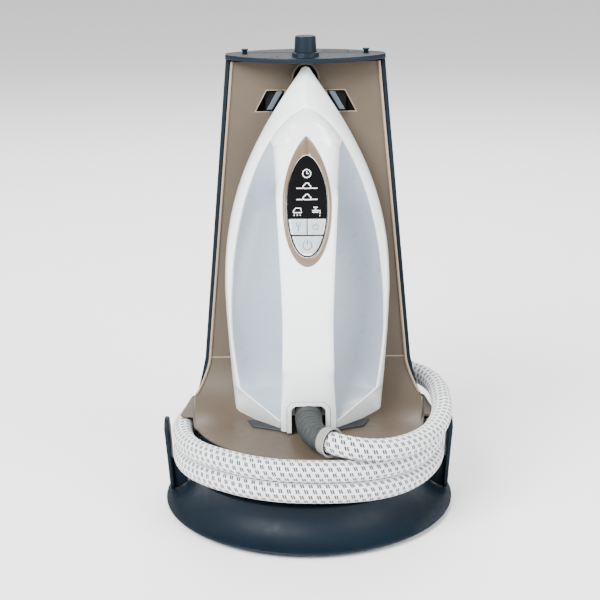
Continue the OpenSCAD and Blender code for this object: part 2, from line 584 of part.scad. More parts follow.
module trigger_spring() color("silver") on_iron() translate([0, 131, 75.9])
    tube([for (a = [0:40:1080]) [2 * cos(a), 2 * sin(a), 4.6 * a / 1080]], [for (a = [0:40:1080]) 0.35], 6);
// The switch over the trigger, and the pin that the trigger turns on
module trigger_switch() color("dimgray") on_iron() {
    translate([-4, 121, 81]) cube([8, 16, 5]);
    translate([0, 115, 73]) rotate([0, 90, 0]) cylinder(r = 1.2, h = 28.8, center = true, $fn = 24);
}
module steam_pipe() color("orange") on_iron() tube([[0, 17.6, 39.8], [0.01, 17.61, 37], [0.02, 17.8, 33.5],
    [0, 19, 29.5], [0, 22.5, 25], [0, 29, 21], [0, 38, 18.2], [0, 47, 16], [0, 54.5, 13.6], [0, 59, 11.2],
    [0, 60.2, 9]], [for (i = [0:10]) 1.8], 10);
module iron_screws() color("silver") on_iron() {
    pair() translate([40, 34, skirt_z + 0.2]) cylinder(r = 2, h = 12, $fn = 24);
    translate([0, 205, skirt_z + 0.2]) cylinder(r = 2, h = 10, $fn = 24);
}

// ---- hose ----

module cord_guard() color("gray") tube(guard_path, [10, 10, 9.8, 9.6, 9.3, 9, 8.8, 8.7], 20);
module guard_ring() color("lightgray") translate(guard_path[7]) rotate([0, 90, -42]) difference() {
    translate([0, 0, 1.6]) cylinder(r = 9.4, h = 4.4, $fn = 48);
    translate([0, 0, -1]) cylinder(r = hose_r + 0.7, h = 10, $fn = 48);
}
module hose_lead() color("white") tube(lead_path, [for (p = lead_path) hose_r], 12);
// The outer shape of the two turns that lie in the channel round the drum
module hose_coil() color("white") difference() {
    rotate_extrude($fn = 96) translate([wind_r - hose_r, shelf_z + 0.4])
        square([hose_d, deck_z - deck_t - shelf_z - 0.8]);
    tube(end_path, [for (p = end_path) hose_r + 0.3], 12);
}
module hose_end() color("white") tube(end_path, [for (p = end_path) hose_r], 12);
module hose_tail() color("white") tube(tail_path, [for (p = tail_path) hose_r], 12);

base_housing();
base_plate();
feet();
guard_left();
guard_right();
dock_panel();
tower_tray();
top_cover();
tip_pad();
rest_pads();
boiler();
boiler_heater();
steam_valve();
pump();
station_board();
water_inlet();
water_line();
steam_line();
hose_gland();
mains_gland();
drain_cap();
base_screws();
lock_knob();
lock_yoke();
lock_spring();
clip_left();
clip_right();
water_tank();
tank_lid();
tank_valve();
fill_flap();
soleplate();
chamber_lid();
sole_heater();
thermostat();
heat_shield();
body_shell();
scoop_panel();
handle_top();
handle_under();
heel_liner();
heel_pad();
bezel();
control_fascia();
control_board();
button_mat();
button_left();
button_right();
button_power();
steam_trigger();
trigger_spring();
trigger_switch();
steam_pipe();
iron_screws();
cord_guard();
guard_ring();
hose_lead();
hose_tail();
hose_coil();
hose_end();
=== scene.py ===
"""Looks of the steam-generator iron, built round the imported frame.

Lengths in this script are in millimetres until build() scales them to metres.
The dock's own frame is (x, s, h): s runs up the leaning panel and h comes out of it.
The iron's own frame is (x, s, z): z is the height above the soleplate.
"""

import json
from math import atan2, cos, degrees, pi, radians, sin, sqrt

import bmesh
import bpy
from mathutils import Matrix, Vector


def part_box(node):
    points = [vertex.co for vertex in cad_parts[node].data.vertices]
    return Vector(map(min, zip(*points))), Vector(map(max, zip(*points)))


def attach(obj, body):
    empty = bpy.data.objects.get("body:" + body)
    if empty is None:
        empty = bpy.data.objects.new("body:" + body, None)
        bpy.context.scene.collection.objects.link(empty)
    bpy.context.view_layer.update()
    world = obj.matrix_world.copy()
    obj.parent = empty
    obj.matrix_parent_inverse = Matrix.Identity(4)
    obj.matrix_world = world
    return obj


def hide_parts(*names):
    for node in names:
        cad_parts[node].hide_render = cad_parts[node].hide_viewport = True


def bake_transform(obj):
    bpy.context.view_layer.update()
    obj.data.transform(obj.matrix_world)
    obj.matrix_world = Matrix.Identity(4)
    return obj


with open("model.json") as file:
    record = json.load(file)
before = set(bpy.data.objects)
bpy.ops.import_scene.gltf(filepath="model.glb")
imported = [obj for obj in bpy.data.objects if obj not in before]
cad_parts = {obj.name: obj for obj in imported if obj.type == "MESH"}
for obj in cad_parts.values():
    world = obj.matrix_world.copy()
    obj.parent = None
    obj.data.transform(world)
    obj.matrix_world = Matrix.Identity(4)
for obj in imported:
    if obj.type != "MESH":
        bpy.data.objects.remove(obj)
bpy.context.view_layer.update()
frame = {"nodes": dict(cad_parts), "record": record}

MM = 0.001

# ---------------------------------------------------------------- driving sizes

# station: its foot, the deck with an ear at each side, the hose's shelf, and the cover with its knob
BASE_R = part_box("base_housing")[1].x / MM
DECK_Z = 64
DECK_T = 2
DECK_R = 83
EAR_X = 93.4
EAR_Y = (-1, 43)
NECK_R = 79
SHELF_Z = 31
COVER_Z = 317
KNOB_Y = 50
KNOB_R = 8

# dock panel: W is a half width, and S is a place along the panel
PLATE_Y = 14
LEAN = radians(12)
PANEL_L = 253
PANEL_TOP_W = 54
PANEL_LOW_W = 72.5
CREASE_S = 38
SWEEP_R = 46
EAR_TURN = 0.45
CLIP_SLOT = [(15, 232.2), (28.3, 232.2), (36.2, 217.4), (22, 217.4)]
PANEL_UP = Vector((0, sin(LEAN), cos(LEAN)))
PANEL_OUT = Vector((0, -cos(LEAN), sin(LEAN)))

# iron: W is a half width, S is a place along the soleplate, and H is a height above it
GAP = 2.5
IRON_L = 248.5
IRON_W = 59.5
TIP_R = 5
SOLE_WIDE_S = 90
PEAK_S = 112
PEAK_H = 98.5
HEEL_S = 21
HEEL_H = 47.5
HEEL_LIFT = 1.4
NOSE_S = 218
NOSE_H = 30.5
RIDGE_W = 54.5
RIDGE_H = 42
RIDGE_WIDE_S = 70
SCOOP_S = (-1, 199)
SKIRT_Z = 8.2
GRIP_T = 27
GAP_S = (34, 160)
NOTCH_W = 12
NOTCH_S = 11
LINER = 3.4
DISPLAY_LENS = (117.2, 184, 13.4, 0.45, 0.55)

# hose: COIL_Z holds the heights of the lower and the upper turn
HOSE_R = 7.5
WIND_R = 91.5
COIL_Z = (38.9, 54.1)
FRONT_RISE = 5
PORT_Y = 60
END_R = 50

# camera: its place is in metres and its angles are in degrees
CAMERA_PLACE = (-0.0028, -0.9645, 0.4424)
CAMERA_TILT = 16.8
CAMERA_ROLL = 0.5
CAMERA_LENS = 84.96
FLOOR_HALF = 6000
WORLD_STRENGTH = 0.95


# ---------------------------------------------------------------- small helpers

def clamp01(t):
    return min(1.0, max(0.0, t))


def ease(t):
    c = clamp01(t)
    return c * c * (3 - 2 * c)


def lerp(a, b, t):
    return a + (b - a) * t


def steps(a, b, n):
    return [lerp(a, b, i / n) for i in range(n + 1)]


def dock(x, s, h):
    """A point of the dock's frame, in the object's frame."""
    return Vector((x, PLATE_Y + s * sin(LEAN) - h * cos(LEAN), DECK_Z + s * cos(LEAN) + h * sin(LEAN)))


def iron(x, s, z):
    """A point of the iron's frame, in the object's frame."""
    return dock(x, s, z + GAP)


def spline(points, per):
    """A smooth line through the points, with per steps between each two."""
    pts = [Vector(p) for p in points]
    out = []
    for i in range(len(pts) - 1):
        p0 = pts[max(i - 1, 0)]
        p1, p2 = pts[i], pts[i + 1]
        p3 = pts[min(i + 2, len(pts) - 1)]
        for k in range(per):
            t = k / per
            out.append(0.5 * (2 * p1 + (p2 - p0) * t + (2 * p0 - 5 * p1 + 4 * p2 - p3) * t ** 2
                              + (3 * p1 - p0 - 3 * p2 + p3) * t ** 3))
    return out + [pts[-1]]


def line_length(points):
    return sum((b - a).length for a, b in zip(points, points[1:]))


def crisp(obj, angle):
    """Smooth shading, with edges sharper than angle (in degrees) kept crisp."""
    mesh = obj.data
    bm = bmesh.new()
    bm.from_mesh(mesh)
    for face in bm.faces:
        face.smooth = True
    for edge in bm.edges:
        edge.smooth = len(edge.link_faces) == 2 and edge.calc_face_angle(0) < radians(angle)
    bm.to_mesh(mesh)
    bm.free()


def build(name, points, faces, angle=35):
    """A mesh object from points in millimetres, with its faces turned outwards."""
    mesh = bpy.data.meshes.new(name)
    mesh.from_pydata([Vector(p) * MM for p in points], [], faces)
    bm = bmesh.new()
    bm.from_mesh(mesh)
    bmesh.ops.remove_doubles(bm, verts=bm.verts, dist=1e-6)
    bmesh.ops.recalc_face_normals(bm, faces=bm.faces)
    bm.to_mesh(mesh)
    bm.free()
    obj = bpy.data.objects.new(name, mesh)
    bpy.context.scene.collection.objects.link(obj)
    crisp(obj, angle)
    return obj


def loft(name, rings, closed=True, angle=35):
    """A surface through rings of points; closed joins each ring's ends and caps the first and last ring."""
    n = len(rings[0])
    faces = []
    for k in range(len(rings) - 1):
        for i in range(n if closed else n - 1):
            j = (i + 1) % n
            faces.append((k * n + i, k * n + j, (k + 1) * n + j, (k + 1) * n + i))
    if closed:
        faces.append(tuple(range(n)))
        faces.append(tuple((len(rings) - 1) * n + i for i in range(n)))
    return build(name, [p for ring in rings for p in ring], faces, angle)


def spin(name, profile, place=None, n=128, angle=35):
    """A closed profile of (radius, height) turned about the Z axis, then placed by a matrix."""
    place = place or Matrix.Identity(4)
    rings = [[place @ Vector((r * cos(2 * pi * k / n), r * sin(2 * pi * k / n), z)) for r, z in profile]
             for k in range(n)]
    m = len(profile)
    faces = [(k * m + i, ((k + 1) % n) * m + i, ((k + 1) % n) * m + (i + 1) % m, k * m + (i + 1) % m)
             for k in range(n) for i in range(m)]
    return build(name, [p for ring in rings for p in ring], faces, angle)


def slab(name, outline, low, high, to_world):
    """An outline of (u, v) made solid between two levels of the third coordinate."""
    rings = [[to_world(u, v, w) for u, v in outline] for w in (low, high)]
    return loft(name, rings)


def rounded(obj, width, segments=3):
    """Rounds the sharp edges of a piece and keeps its flat faces flat."""
    bevel = obj.modifiers.new("round", "BEVEL")
    bevel.width = width * MM
    bevel.segments = segments
    bevel.limit_method = "ANGLE"
    bevel.angle_limit = radians(40)
    bevel.harden_normals = True


def soften(node, width):
    """Rounds a CAD node's edges with modifiers, which leave its own mesh alone."""
    obj = frame["nodes"][node]
    weld = obj.modifiers.new("weld", "WELD")
    weld.merge_threshold = 1e-6
    rounded(obj, width, segments=2)


def cut(obj, *cutters):
    """Takes the cutters' shapes out of a piece for good."""
    for cutter in cutters:
        boolean = obj.modifiers.new("cut", "BOOLEAN")
        boolean.operation = "DIFFERENCE"
        boolean.solver = "EXACT"
        boolean.object = cutter
    bpy.context.view_layer.update()
    shaped = bpy.data.meshes.new_from_object(obj.evaluated_get(bpy.context.evaluated_depsgraph_get()))
    obj.modifiers.clear()
    obj.data = shaped
    for cutter in cutters:
        bpy.data.objects.remove(cutter)
    crisp(obj, 35)
    return obj


def joined(name, objects):
    """One piece out of several."""
    bm = bmesh.new()
    for obj in objects:
        bm.from_mesh(obj.data)
        bpy.data.objects.remove(obj)
    mesh = bpy.data.meshes.new(name)
    bm.to_mesh(mesh)
    bm.free()
    obj = bpy.data.objects.new(name, mesh)
    bpy.context.scene.collection.objects.link(obj)
    return obj


def finish_piece(obj, body, slot, *nodes):
    """Gives a piece its material, its body and the CAD nodes that it stands for."""
    obj.data.materials.clear()
    obj.data.materials.append(materials[slot])
    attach(obj, body)
    if nodes:
        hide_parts(*nodes)


# ---------------------------------------------------------------- materials

class Shader:
    """A node material that is put together from short calls."""

    def __init__(self, name):
        self.material = bpy.data.materials.new(name)
        self.material.use_nodes = True
        self.tree = self.material.node_tree
        self.bsdf = self.tree.nodes["Principled BSDF"]

    def add(self, kind, inputs=None, **settings):
        node = self.tree.nodes.new(kind)
        for key, value in settings.items():
            setattr(node, key, value)
        for key, value in (inputs or {}).items():
            self.put(node, key, value)
        return node

    def put(self, node, key, value):
        if isinstance(value, bpy.types.NodeSocket):
            self.tree.links.new(value, node.inputs[key])
        else:
            node.inputs[key].default_value = value

    def set(self, **values):
        for key, value in values.items():
            self.put(self.bsdf, key.replace("_", " "), value)

    def math(self, operation, a, b=0.0):
        return self.add("ShaderNodeMath", {0: a, 1: b}, operation=operation).outputs[0]

    def noise(self, size, detail=3.0, vector=None, stretch=(1, 1, 1)):
        """Noise whose features are about size millimetres across."""
        coords = vector or self.add("ShaderNodeTexCoord").outputs["Object"]
        scaled = self.add("ShaderNodeVectorMath", {0: coords, 1: stretch}, operation="MULTIPLY").outputs[0]
        return self.add("ShaderNodeTexNoise", {"Vector": scaled, "Scale": 1 / (size * MM), "Detail": detail}
                        ).outputs["Fac"]

    def ramp(self, value, low, high, start, end):
        """value between low and high, turned into a number between start and end."""
        return self.add("ShaderNodeMapRange", {"Value": value, "From Min": low, "From Max": high,
                                               "To Min": start, "To Max": end}).outputs["Result"]

    def mix(self, factor, a, b):
        node = self.add("ShaderNodeMix", data_type="RGBA")
        self.put(node, 0, factor)
        self.put(node, 6, a)
        self.put(node, 7, b)
        return node.outputs[2]

    def bump(self, height, distance):
        """distance is the height of the relief in millimetres."""
        return self.add("ShaderNodeBump", {"Height": height, "Strength": 1.0, "Distance": distance * MM}
                        ).outputs["Normal"]


def rgba(colour, k=1.0):
    return (*[min(1.0, c * k) for c in colour], 1.0)


def plastic(name, colour, rough, coat=0.0, grain=0.25, relief=0.006, worn=0.08, shine=0.5):
    """Moulded plastic: a faint tone drift, a fine grain, and gloss that varies a little."""
    s = Shader(name)
    drift = s.noise(35, 2)
    fine = s.noise(grain, 2)
    tone = s.mix(s.ramp(drift, 0.35, 0.65, 0, 1), rgba(colour, 1 - worn), rgba(colour, 1 + worn))
    s.set(Base_Color=s.mix(s.ramp(fine, 0.3, 0.7, 0, 0.25), tone, rgba(colour, 1 - 2 * worn)),
          Roughness=s.ramp(s.noise(6, 3), 0.3, 0.7, rough * 0.88, rough * 1.15),
          Normal=s.bump(fine, relief))
    s.set(Coat_Weight=coat, Coat_Roughness=0.06, Specular_IOR_Level=shine)
    return s.material


def metal(name, colour, rough, stretch=(1, 1, 1)):
    """Brushed or cast metal, with fine lines across the short direction of stretch."""
    s = Shader(name)
    lines = s.noise(0.3, 4, stretch=stretch)
    s.set(Base_Color=s.mix(lines, rgba(colour, 0.8), rgba(colour, 1.1)),
          Roughness=s.ramp(lines, 0.3, 0.7, rough * 0.7, rough * 1.3),
          Normal=s.bump(lines, 0.01))
    s.set(Metallic=1.0)
    return s.material


def rubber(name, colour, rough=0.62):
    """Soft rubber: matt, with a powdery speckle."""
    s = Shader(name)
    speckle = s.noise(0.5, 4)
    s.set(Base_Color=s.mix(s.ramp(speckle, 0.4, 0.7, 0, 1), rgba(colour, 0.9), rgba(colour, 1.25)),
          Roughness=s.ramp(speckle, 0.3, 0.7, rough * 0.85, rough * 1.15),
          Normal=s.bump(speckle, 0.02))
    s.set(Specular_IOR_Level=0.35)
    return s.material


def braid(name):
    """Woven hose cover: crossing white yarns with rows of dark double flecks, laid out by the tube's UV map.

    U is the distance along the hose in metres, and V goes from 0 to 1 round it.
    """
    rows, pitch = 12, 5.4 * MM
    s = Shader(name)
    uv = s.add("ShaderNodeSeparateXYZ", {0: s.add("ShaderNodeTexCoord").outputs["UV"]})
    along, around = uv.outputs[0], uv.outputs[1]
    lane = s.math("MULTIPLY", around, rows)
    lane_pos = s.math("SUBTRACT", s.math("FRACT", lane), 0.5)
    odd = s.math("MULTIPLY", s.math("MODULO", s.math("FLOOR", lane), 2.0), 0.5)
    place = s.math("FRACT", s.math("ADD", s.math("DIVIDE", along, pitch), odd))
    slanted = s.math("SUBTRACT", place, s.math("MULTIPLY", lane_pos, 0.24))
    first = s.math("ABSOLUTE", s.math("SUBTRACT", slanted, 0.37))
    second = s.math("ABSOLUTE", s.math("SUBTRACT", slanted, 0.63))
    near = s.math("MINIMUM", first, second)
    across = s.ramp(near, 0.085, 0.115, 1, 0)
    tall = s.ramp(s.math("ABSOLUTE", lane_pos), 0.33, 0.39, 1, 0)
    fleck = s.math("MULTIPLY", across, tall)
    yarns = 44
    turn = s.math("MULTIPLY", around, 2 * pi * yarns / 2)
    run = s.math("MULTIPLY", along, 2 * pi / (2.1 * MM))
    left = s.math("SINE", s.math("ADD", turn, run))
    right = s.math("SINE", s.math("SUBTRACT", turn, run))
    weave = s.math("MULTIPLY", left, right)
    fuzz = s.noise(0.25, 3)
    # painted shade: the yarns and the flecks are painted darker where the weave sinks, in the grooves between
    # the yarns; the same weave also drives the bump
    white = s.mix(s.ramp(weave, -1, 0.6, 0, 1), (0.55, 0.57, 0.61, 1), (0.92, 0.92, 0.92, 1))
    dark = s.mix(s.ramp(weave, -1, 1, 0, 1), (0.008, 0.013, 0.030, 1), (0.030, 0.040, 0.075, 1))
    s.set(Base_Color=s.mix(fleck, white, dark),
          Roughness=s.ramp(fuzz, 0.3, 0.7, 0.7, 0.95),
          Normal=s.bump(s.math("ADD", weave, s.math("MULTIPLY", fuzz, 0.5)), 0.16))
    s.set(Sheen_Weight=0.25, Sheen_Roughness=0.5, Specular_IOR_Level=0.25)
    return s.material


materials = {
    "station_navy": plastic("station_navy", (0.0045, 0.0095, 0.016), 0.46, grain=0.4, shine=0.12),
    "clip_slate": plastic("clip_slate", (0.055, 0.073, 0.092), 0.4, grain=0.4, shine=0.4),
    "station_black": plastic("station_black", (0.012, 0.014, 0.018), 0.5, grain=0.6, relief=0.02),
    "panel_taupe": plastic("panel_taupe", (0.080, 0.061, 0.043), 0.42, grain=0.3, worn=0.03, shine=0.3),
    # painted highlight: lip_taupe is the panel's taupe painted about three times lighter, for the light
    # caught by the raised lips, slot rims and crease
    "lip_taupe": plastic("lip_taupe", (0.26, 0.20, 0.145), 0.4, coat=0.1, grain=0.3, worn=0.03),
    "iron_white": plastic("iron_white", (0.90, 0.925, 0.94), 0.22, coat=0.5, relief=0.001, worn=0.008),
    "iron_grey": plastic("iron_grey", (0.31, 0.365, 0.425), 0.3, coat=0.2, relief=0.003, worn=0.02),
    "bezel_bronze": plastic("bezel_bronze", (0.145, 0.102, 0.066), 0.3, coat=0.15, relief=0.002, worn=0.05),
    "crest_bronze": plastic("crest_bronze", (0.12, 0.078, 0.042), 0.3, coat=0.2, relief=0.002, worn=0.05),
    "display_black": plastic("display_black", (0.002, 0.002, 0.0025), 0.16, relief=0.0005, worn=0.3,
                             shine=0.15),
    "button_silver": plastic("button_silver", (0.40, 0.445, 0.475), 0.35, coat=0.1, relief=0.003, worn=0.03),
    "guard_rubber": rubber("guard_rubber", (0.024, 0.027, 0.028)),
    "rubber_black": rubber("rubber_black", (0.012, 0.012, 0.013)),
    "ring_grey": plastic("ring_grey", (0.24, 0.24, 0.225), 0.4, relief=0.006, worn=0.04),
    "hose_braid": braid("hose_braid"),
    "sole_metal": metal("sole_metal", (0.62, 0.62, 0.62), 0.25, (1, 0.05, 1)),
    "inner_metal": metal("inner_metal", (0.55, 0.55, 0.55), 0.4),
    "spring_steel": metal("spring_steel", (0.5, 0.5, 0.5), 0.3),
    "brass": metal("brass", (0.62, 0.46, 0.20), 0.3),
    "inner_plastic": plastic("inner_plastic", (0.62, 0.62, 0.58), 0.5),
    "tank_clear": plastic("tank_clear", (0.045, 0.065, 0.09), 0.18, coat=0.5, relief=0.002),
    "board_green": plastic("board_green", (0.02, 0.12, 0.06), 0.4, grain=1.5, relief=0.03),
    "silicone": rubber("silicone", (0.55, 0.22, 0.08), 0.45),
    "mark_white": plastic("mark_white", (0.85, 0.87, 0.88), 0.5, worn=0.01),
    "mark_dark": plastic("mark_dark", (0.10, 0.12, 0.15), 0.5, worn=0.01),
    # painted shade: shade_black colours near-black sheets and parts that stand for the shade in the clip
    # slots and inside the tip hood
    "shade_black": rubber("shade_black", (0.002, 0.002, 0.002), 0.9),
}
for part in frame["record"]["subparts"]:
    node = frame["nodes"][part["node"]]
    node.data.materials.clear()
    node.data.materials.append(materials[part["material_slot"]])

# ---------------------------------------------------------------- camera

def add_camera():
    data = bpy.data.cameras.new("camera")
    data.sensor_width = 36
    data.lens = CAMERA_LENS
    camera = bpy.data.objects.new("camera", data)
    camera.location = CAMERA_PLACE
    camera.rotation_euler = (radians(90 - CAMERA_TILT), radians(CAMERA_ROLL), 0)
    bpy.context.scene.collection.objects.link(camera)
    bpy.context.scene.camera = camera


add_camera()

# ---------------------------------------------------------------- hose

LEAD = [(14.6, -82, 76), (19.5, -85.3, 75.6), (26, -87.9, 75), (34, -89, 74), (43, -88, 72.8),
        (52.5, -84.3, 71.6), (62, -77.8, 70.6), (71, -69.5, 69.9), (79, -59.5, 69.5), (85.8, -48, 69.5),
        (91, -35, 70), (94.8, -20.5, 71), (96.6, -8, 72), (97, 0, 72.2)]
TAIL = [(97, 0, 72.2), (97.3, 13, 72.3), (97.2, 25, 72.5), (95.2, 38, 72.7), (91, 50.5, 72.8),
        (84.2, 62.5, 72.8), (74.8, 73.5, 72.5), (62.8, 82.8, 72), (48, 89.8, 71.4), (32, 94, 70.8),
        (15, 95.6, 70.2), (-2, 95, 69.8)]


def turn_point(a):
    """A point of the wound hose, at an angle counted from the right-hand side in degrees.

    It comes in high and wide behind the tower, drops under the deck's left ear, and makes two turns.
    At the front, clear of the ears, both turns are drawn up towards the deck.
    """
    upper = lerp(TAIL[-1][2], COIL_Z[1], ease((a - 100) / 53))
    z = upper - (COIL_Z[1] - COIL_Z[0]) * ease((a - 455) / 55)
    turn = a % 360
    z += FRONT_RISE * ease((turn - 188) / 50) * ease((322 - turn) / 56)
    r = lerp(95, WIND_R, ease((a - 95) / 55))
    return Vector((r * cos(radians(a)), r * sin(radians(a)), z))


def hose_line():
    """The hose from the ring at the iron to the gland, and the index at which it reaches the deck's ear."""
    lead = spline(LEAD + [TAIL[1]], 6)[:6 * (len(LEAD) - 1)]
    tail = spline([LEAD[-2]] + TAIL + [turn_point(101)], 6)[6:6 * len(TAIL)]
    turns = [turn_point(a) for a in range(97, 723, 4)]
    x, y = WIND_R - END_R, PORT_Y - END_R
    end = [Vector((x + END_R * cos(radians(a)), y + END_R * sin(radians(a)), COIL_Z[0]))
           for a in range(0, 91, 6)]
    rest = turns + end[1:] + [Vector((36, PORT_Y, COIL_Z[0])), Vector((31, PORT_Y, COIL_Z[0]))]
    return lead + tail + rest, len(lead)


def hose_frames(line):
    """Directions across the line at each of its points, carried along it without twisting."""
    frames = []
    side = Vector((0, 0, 1))
    for i, p in enumerate(line):
        t = (line[min(i + 1, len(line) - 1)] - line[max(i - 1, 0)]).normalized()
        side = (side - side.dot(t) * t).normalized()
        frames.append((side.copy(), t.cross(side)))
    return frames


def hose_piece(name, line, frames, start_u, sides=28):
    """A tube with a UV map: U is the distance along the hose in metres, V goes once round it."""
    mesh = bpy.data.meshes.new(name)
    points = []
    for p, (a, b) in zip(line, frames):
        points += [(p + HOSE_R * (cos(2 * pi * k / sides) * a + sin(2 * pi * k / sides) * b)) * MM
                   for k in range(sides)]
    faces = [(i * sides + k, i * sides + (k + 1) % sides,
              (i + 1) * sides + (k + 1) % sides, (i + 1) * sides + k)
             for i in range(len(line) - 1) for k in range(sides)]
    caps = [tuple(range(sides)), tuple((len(line) - 1) * sides + k for k in range(sides))]
    mesh.from_pydata(points, [], faces + caps)
    distance = [start_u]
    for a, b in zip(line, line[1:]):
        distance.append(distance[-1] + (b - a).length * MM)
    layer = mesh.uv_layers.new(name="hose")
    for f, face in enumerate(mesh.polygons):
        face.use_smooth = f < len(faces)
        if f >= len(faces):
            continue
        i, k = divmod(f, sides)
        corners = [(distance[i], k / sides), (distance[i], (k + 1) / sides),
                   (distance[i + 1], (k + 1) / sides), (distance[i + 1], k / sides)]
        for loop, uv in zip(face.loop_indices, corners):
            layer.data[loop].uv = uv
    obj = bpy.data.objects.new(name, mesh)
    bpy.context.scene.collection.objects.link(obj)
    return obj


def make_hose():
    line, split = hose_line()
    frames = hose_frames(line)
    lead_line = line[:split + 1]
    wound_line = line[split:]
    lead = hose_piece("hose_to_iron", lead_line, frames[:split + 1], 0)
    lead_length = line_length(lead_line) * MM
    wound = hose_piece("hose_wound", wound_line, frames[split:], lead_length)
    for obj, nodes in ((lead, ("hose_lead",)), (wound, ("hose_tail", "hose_coil", "hose_end"))):
        obj.data.materials.append(materials["hose_braid"])
        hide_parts(*nodes)
    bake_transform(lead)
    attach(wound, "station")


make_hose()

# ---------------------------------------------------------------- base

def make_base():
    flare = [(BASE_R - 22 * cos(radians(a)), 28.5 - 23.3 * sin(radians(a))) for a in range(-8, 82, 3)]
    rim = [(BASE_R - 0.9 + 0.9 * cos(radians(a)), 4.1 + 0.9 * sin(radians(a))) for a in range(75, -91, -15)]
    inside = [(BASE_R - 24.5 * cos(radians(a)), 28.5 - 26 * sin(radians(a))) for a in range(72, -1, -8)]
    neck = [(NECK_R - 2.5, 28.5), (NECK_R - 2.5, 61.8), (NECK_R - 0.5, 61.8), (NECK_R, 61.3),
            (NECK_R, SHELF_Z + 1), (NECK_R + 1, SHELF_Z), (88.5, SHELF_Z), (89, SHELF_Z - 0.5)]
    base = spin("base_shell", neck + flare + rim + [(BASE_R - 6, 3.0)] + inside, n=200, angle=50)
    finish_piece(base, "station", "station_navy", "base_housing")


def make_guard(name, side, node):
    """An upright blade with a round top, leaning out a little, with a web that steps down to the skirt."""
    def place(y, z, t):
        lean_out = lerp(BASE_R - 4.5, BASE_R - 1.7, clamp01((z - 12.3) / 41.7))
        return Vector((side * (lean_out + t), y, z))
    half_low, half_high = 6, 9
    top = [(half_high * cos(radians(a)), 54 + half_high * sin(radians(a))) for a in range(0, 181, 12)]
    low = [(half_low * cos(radians(a)), 12.3 + half_low * sin(radians(a))) for a in range(180, 361, 12)]
    blade = slab("blade", top + low, -1.6, 1.6, place)
    rounded(blade, 0.9)
    blade.modifiers["round"].harden_normals = False
    blade = cut(blade)

    def web_place(x, z, t):
        return Vector((side * x, t, z))
    web = slab("web", [(89.5, 12.2), (96, 7.9), (100.2, 6.7), (100.9, 30), (99.2, 31.2), (96.5, 31.4),
                       (95.8, 30.6), (95.8, 28.4), (90, 27.2)], -1.5, 1.5, web_place)
    rounded(web, 0.5)
    web.modifiers["round"].harden_normals = False
    web = cut(web)
    guard = joined(name, [blade, web])
    crisp(guard, 30)
    finish_piece(guard, "station", "station_navy", node)


make_base()
make_guard("hose_guard_left", -1, "guard_left")
make_guard("hose_guard_right", 1, "guard_right")

# ---------------------------------------------------------------- dock

def deck_outline():
    """The deck seen from above: a circle with a rounded tab at each side."""
    low, high = EAR_Y
    r = 4.5
    start = degrees(atan2(low - 3, DECK_R))
    end = degrees(atan2(high + 3, sqrt(DECK_R ** 2 - high ** 2)))
    right = [(DECK_R * cos(radians(a)), DECK_R * sin(radians(a))) for a in steps(-90, start, 40)]
    right += [(DECK_R + 3 - 3 * sin(radians(a)), low - 3 + 3 * cos(radians(a))) for a in range(75, 14, -15)]
    right += [(EAR_X - r + r * cos(radians(a)), low + r + r * sin(radians(a))) for a in range(-90, 1, 15)]
    far = EAR_X - 5
    right += [(far - r + r * cos(radians(a)), high - r + r * sin(radians(a))) for a in range(15, 91, 15)]
    right += [(DECK_R * cos(radians(a)), DECK_R * sin(radians(a))) for a in steps(end, 90, 30)[:-1]]
    return right + [(0, DECK_R)] + [(-x, y) for x, y in reversed(right) if x > 0.01]


def panel_half_width(s):
    return lerp(PANEL_LOW_W, PANEL_TOP_W, clamp01((s - CREASE_S) / (PANEL_L - CREASE_S)))


def sweep_half_width(turn):
    """Half width of the concave sweep, from the crease (turn 0) to the deck (turn 1)."""
    return PANEL_LOW_W + 10 * clamp01(turn / EAR_TURN) ** 1.35 - 2.5 * ease((turn - 0.6) / 0.4)


def panel_rows():
    """Centre line and half width of the panel's face, from its top down to the deck."""
    rows = [(PLATE_Y + s * sin(LEAN), DECK_Z + s * cos(LEAN), panel_half_width(s))
            for s in steps(PANEL_L, CREASE_S, 40)]
    centre_y = PLATE_Y - SWEEP_R * 0.81
    for turn in steps(0.02, 1, 28):
        angle = lerp(-LEAN, -pi / 2, turn)
        rows.append((centre_y + SWEEP_R * cos(angle), DECK_Z + 0.15 + SWEEP_R * (1 + sin(angle)),
                     sweep_half_width(turn)))
    rows.append((centre_y - 4, DECK_Z - 0.3, sweep_half_width(1) - 2))
    return rows


def make_dock():
    deck = slab("deck", deck_outline(), DECK_Z - DECK_T, DECK_Z, lambda x, y, z: Vector((x, y, z)))
    rounded(deck, 0.95)
    finish_piece(deck, "station", "panel_taupe")
    rows = panel_rows()
    face = loft("dock_face", [[Vector((lerp(-w, w, k / 40), y, z)) for k in range(41)] for y, z, w in rows],
                closed=False, angle=60)
    thick = face.modifiers.new("thick", "SOLIDIFY")
    thick.thickness = 2.3 * MM
    thick.offset = -1 if face.data.polygons[0].normal.y < 0 else 1
    slots = [slab("slot", [(side * x, s) for x, s in CLIP_SLOT], -8, 8, dock) for side in (-1, 1)]
    face = cut(face, *slots)
    finish_piece(face, "station", "panel_taupe", "dock_panel")
    for side in (-1, 1):
        make_side_bead(rows, side)
        make_ear_flank(rows, side)
        # painted shade: a near-black sheet behind each clip slot stands for the shade deep in the slot
        outline_back = [(side * x, s) for x, s in ((12, 236), (32, 236), (40, 213), (18, 213))]
        shade = slab("slot_shade_" + ("left" if side < 0 else "right"), outline_back, -7.9, -7.5, dock)
        finish_piece(shade, "station", "shade_black")
    for name, side in (("left", -1), ("right", 1)):
        make_clip(name, side)
        make_slot_rim(name, side)
    make_crease()
    make_tip_hood()


def sweep_z(angle):
    """The height of the concave sweep's surface, at an angle in degrees below the level."""
    return DECK_Z + SWEEP_R * (1 - sin(radians(angle)))


